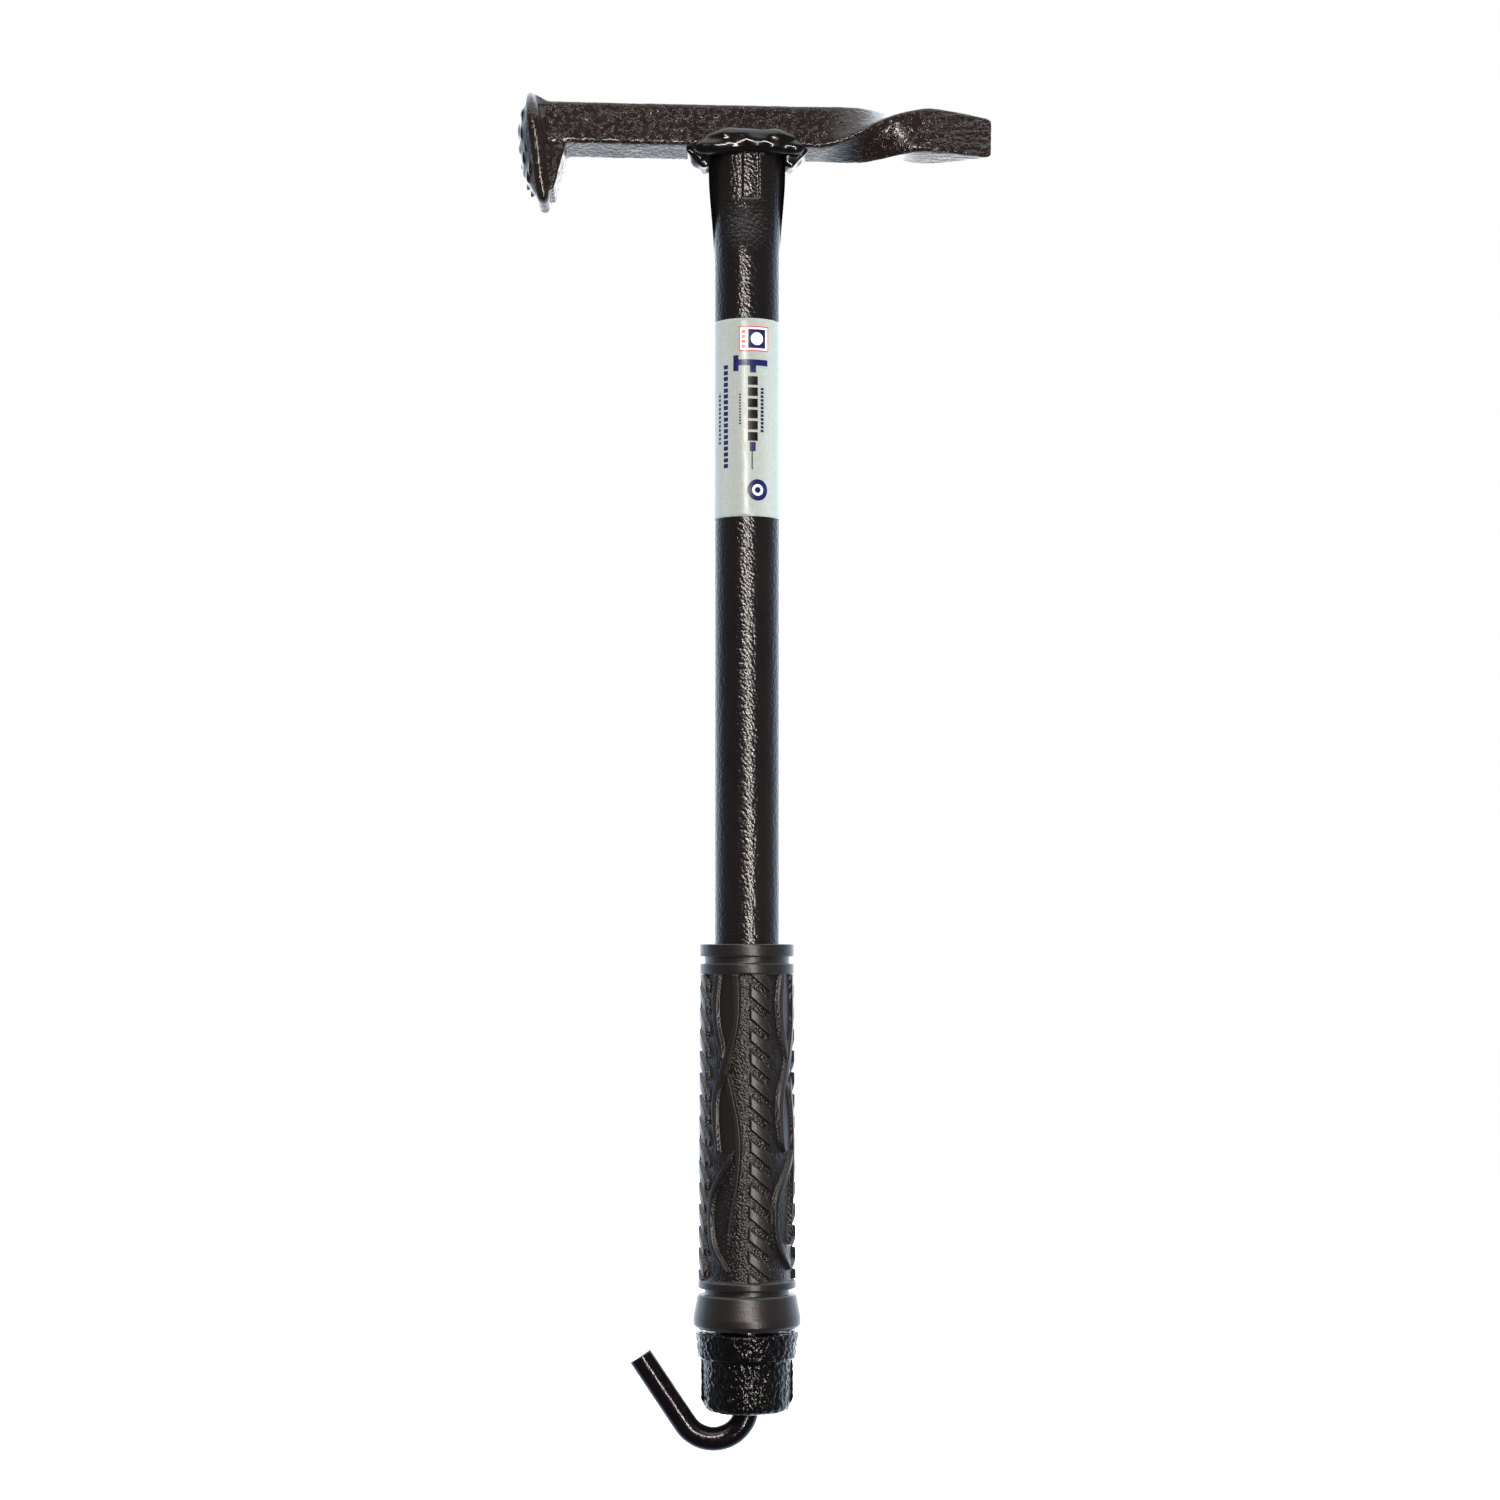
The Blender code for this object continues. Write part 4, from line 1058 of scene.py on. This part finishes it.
def make_cap(finish):
    top = extent("end_cap")[1].z
    band_r = extent("end_cap")[1].x
    seat_r = PIPE_R + 0.1
    thread_r = seat_r - CAP_THREAD_DEPTH
    outer = rounded(
        [
            (seat_r, top), (band_r, top), (CAP_BAND_FOOT_R, CAP_BAND_FOOT), (CAP_BODY_R, CAP_BAND_FOOT - 0.5),
            (CAP_FOOT_R, 0.0), (CAP_HOLE_R, 0.0), (CAP_HOLE_R, CAP_FLOOR),
        ],
        0.7,
    )
    inner = [(thread_r, CAP_FLOOR), (thread_r, top - 9), (seat_r, top - 8)]
    points = lathe(refined(outer, 0.35) + refined(inner, 2), CAP_STEPS)
    x, y, z = points[..., 0], points[..., 1], points[..., 2]
    out = np.hypot(x, y)
    side = np.abs(x) > np.abs(y)
    on_rib = 1 - smoothstep(np.abs(y), RIB_HALF_WIDTH - RIB_EDGE, RIB_HALF_WIDTH + RIB_EDGE)
    tall = smoothstep(z, 2.2, 4.4) * (1 - smoothstep(z, CAP_BAND_FOOT - 0.4, CAP_BAND_FOOT + 0.2))
    on_side = side * (out > CAP_FOOT_R - 0.6)
    grown = np.maximum(out, out + (RIB_REACH - out) * on_rib * tall * on_side)
    rounding = np.clip(CAP_FOOT_ROUND - z, 0, CAP_FOOT_ROUND) / CAP_FOOT_ROUND
    drawn_in = CAP_FOOT_ROUND * (1 - np.sqrt(1 - rounding**2)) * smoothstep(out, CAP_FOOT_R - 4, CAP_FOOT_R)
    points[..., :2] *= ((grown - drawn_in) / out)[..., None]
    cap = skin("iron_cap", points)
    roughen(cap, cast)
    add_finish(cap, finish, "end_cap")


# ---- hook rod

ROD_R = 4.05
ROD_CHAMFER = 0.35
ROD_END_R = 0.4  # the ends are closed over a ring this small
ROD_STEPS = 64
BEND_START = 1.95
BEND_R = 11.1
BEND_ANGLE = math.radians(146.3)
BEND_RINGS = 60
LEG_LENGTH = 27.0


def rod_line():
    """Places and headings down the handle's axis, round the bend and up the hook's leg."""
    top = extent("hook_rod")[1].z
    line = [(Vector((0, 0, z)), Vector((0, 0, -1))) for z in np.linspace(top, BEND_START, 60)]
    centre = Vector((-BEND_R, 0, BEND_START))
    for i in range(1, BEND_RINGS + 1):
        angle = -BEND_ANGLE * i / BEND_RINGS
        away = Vector((math.cos(angle), 0, math.sin(angle)))
        line.append((centre + BEND_R * away, Vector((math.sin(angle), 0, -math.cos(angle)))))
    corner, heading = line[-1]
    line += [(corner + heading * s, heading) for s in np.linspace(0.8, LEG_LENGTH, 34)]
    return line


def make_rod(finish):
    line = rod_line()
    (top, down), (tip, along) = line[0], line[-1]
    edge_r = ROD_R - ROD_CHAMFER
    stations = [(top, down, ROD_END_R), (top, down, edge_r), (top + down * ROD_CHAMFER, down, ROD_R)]
    stations += [(place, heading, ROD_R) for place, heading in line[1:-1]]
    stations += [(tip - along * ROD_CHAMFER, along, ROD_R), (tip, along, edge_r), (tip, along, ROD_END_R)]
    side = Vector((0, -1, 0))
    turn = np.arange(ROD_STEPS) * TAU / ROD_STEPS
    rings = []
    for place, heading, radius in stations:
        out = heading.cross(side)
        rings.append([tuple(place + (side * math.cos(a) + out * -math.sin(a)) * radius) for a in turn])
    rod = skin("hook_bar", np.array(rings), closed=False)
    rod.data.set_sharp_from_angle(angle=math.radians(30))
    roughen(rod, lambda point: 0.03 * grain(point, 4, 2, 2.0))
    add_finish(rod, finish, "hook_rod", body="hook")


# ---- studio

# In metres, with heights counted up from the end cap's outer face.
EYE = (0.00099, -1.03, 0.1472)
LENS = 74.9
LENS_SHIFT = 0.1433
LAMPS_AIM = 0.22  # height that the lamps face
STRIP_WIDTH = 0.06
WARM = (1.0, 0.93, 0.86)
COOL = (0.93, 1.0, 1.0)
FLOOR_GAP = 0.02  # below the hook when it is drawn out
FLOOR_HALF = 6.0


def make_camera():
    data = bpy.data.cameras.new("camera")
    data.lens = LENS
    data.clip_start = 0.01
    camera = add_object("camera", data)
    camera.location = (EYE[0], EYE[1], cap_face + EYE[2])
    camera.rotation_euler = (math.pi / 2, 0, 0)
    bpy.context.scene.camera = camera
    # The lens is shifted for this one view. From any other height the camera looks straight.
    shift = data.driver_add("shift_y").driver
    height = shift.variables.new()
    height.name = "height"
    height.type = "TRANSFORMS"
    height.targets[0].id = camera
    height.targets[0].transform_type = "LOC_Z"
    shift.expression = f"{LENS_SHIFT} if abs(height - {cap_face + EYE[2]:.5f}) < 0.0001 else 0.0"
    return camera


def strip_light(camera, name, start, end, width, power, colour):
    """A long soft lamp between two points, facing the hammer. It moves with the camera."""
    start, end = Vector(start), Vector(end)
    middle = (start + end) / 2 + BASE
    along = (end - start).normalized()
    back = (middle - Vector((0, 0, cap_face + LAMPS_AIM))).normalized()
    back = (back - along * back.dot(along)).normalized()
    data = bpy.data.lights.new(name, "AREA")
    data.shape = "RECTANGLE"
    data.size = width
    data.size_y = (end - start).length
    data.energy = power
    data.color = colour
    lamp = add_object(name, data)
    facing = Matrix((along.cross(back), along, back)).transposed().to_4x4()
    lamp.matrix_world = Matrix.Translation(middle) @ facing
    bpy.context.view_layer.update()
    lamp.parent = camera
    lamp.matrix_parent_inverse = camera.matrix_world.inverted()
    return lamp


# How bright the white surroundings are, as (how far round, from -1 behind the camera to 1 straight ahead,
# brightness, colour).
GLOW_SCALE = 6.0
SKY_GLOW = 2.1  # added overhead
SKY_RISE = (0.45, 0.85)  # height of a direction, as its sine, over which that starts and is full
STUDIO_GLOW = [
    (-0.25, 0.02, (1.0, 0.95, 0.9)),
    (0.15, 0.30, (0.62, 0.78, 1.0)),
    (0.55, 1.75, (0.62, 0.79, 1.0)),
    (0.82, 2.1, (0.78, 0.89, 1.0)),
    (1.0, 2.9, (1.0, 1.0, 1.0)),
]


def make_world():
    """White all round for the eye. For light, bright ahead of the camera and dark behind it."""
    world = bpy.data.worlds.new("studio")
    world.use_nodes = True
    look = Nodes(world.node_tree)
    glow = look.tree.nodes["Background"]
    heading = look.node("TexCoord").outputs["Camera"]
    spread = look.node("ValToRGB")
    stops = spread.color_ramp.elements
    while len(stops) < len(STUDIO_GLOW):
        stops.new(1.0)
    for stop, (ahead, brightness, colour) in zip(stops, STUDIO_GLOW):
        stop.position = (ahead + 1) / 2
        stop.color = (*(brightness / GLOW_SCALE * part for part in colour), 1.0)
    look.feed(spread.inputs[0], look.math("MULTIPLY_ADD", look.part(heading, "Z"), 0.5, 0.5))
    overhead = look.ramp(look.part(heading, "Y"), *SKY_RISE, 0.0, SKY_GLOW / GLOW_SCALE)
    look.feed(glow.inputs["Color"], look.mix(1.0, spread.outputs[0], overhead, blend_type="ADD"))
    look.feed(glow.inputs["Strength"], GLOW_SCALE)
    white = look.node("Background")
    look.feed(white.inputs["Color"], (1, 1, 1, 1))
    seen = look.node("LightPath").outputs["Is Camera Ray"]
    choose = look.node("MixShader")
    look.feed_all(choose.inputs, (seen, glow.outputs[0], white.outputs[0]))
    look.feed(look.tree.nodes["World Output"].inputs["Surface"], choose.outputs[0])
    bpy.context.scene.world = world


def make_floor():
    """A plain pale floor, low enough to clear the hook when it is drawn out, and clear from below."""
    travel = next(joint for joint in frame["joints"] if joint["type"] == "slide")["range_m"][1]
    level = cad_box[0].z - travel - FLOOR_GAP
    corners = [(FLOOR_HALF * x, FLOOR_HALF * y, level) for x, y in ((-1, -1), (1, -1), (1, 1), (-1, 1))]
    mesh = bpy.data.meshes.new("floor")
    mesh.from_pydata(corners, [], [(0, 1, 2, 3)])
    floor = add_object("floor", mesh)
    look = Finish("pale_floor")
    look.set("Roughness", 0.8)
    look.cloudy(900, 2, (0.90, 0.90, 0.90), (0.93, 0.93, 0.93))
    look.set("Emission Color", (1.0, 1.0, 1.0, 1.0))
    look.set("Emission Strength", 0.5)
    below = look.node("NewGeometry").outputs["Backfacing"]
    look.set("Alpha", look.math("SUBTRACT", 1.0, below))
    mesh.materials.append(look.material)
    floor.visible_glossy = False
    floor.visible_diffuse = False


def make_studio():
    bpy.context.scene.view_settings.view_transform = "Standard"
    camera = make_camera()
    bend = (0.30, -1.03, 0.17)
    strip_light(camera, "upper_strip", (-0.36, -1.03, 0.72), bend, STRIP_WIDTH, 8.0, WARM)
    strip_light(camera, "lower_strip", bend, (0.32, -1.03, -0.40), STRIP_WIDTH, 5.0, WARM)
    for side, power in ((-0.95, 6.0), (0.95, 11.0)):
        fill = strip_light(camera, "side_fill", (side, -0.1, 0.62), (side, -0.1, -0.18), 0.5, power, COOL)
        fill.visible_glossy = False
    make_world()
    make_floor()


make_pipe(powder_coat())
make_spike(forged_coat())
make_welds(weld_coat())
make_label(label_film())
make_grip(moulded_rubber())
make_cap(cast_coat())
make_rod(rod_coat())

# These stay as the CAD has them, inside the handle, and get their materials only.
zinc = zinc_plate()
carried_over = {
    "stop_nut": zinc,
    "guide_washer_lower": zinc,
    "guide_washer_upper": zinc,
    "lock_nut": zinc,
    "friction_bush": bush_rubber(),
    "lock_nut_insert": nylon(),
}
for node, material in carried_over.items():
    frame["nodes"][node].material_slots[0].material = material

make_studio()
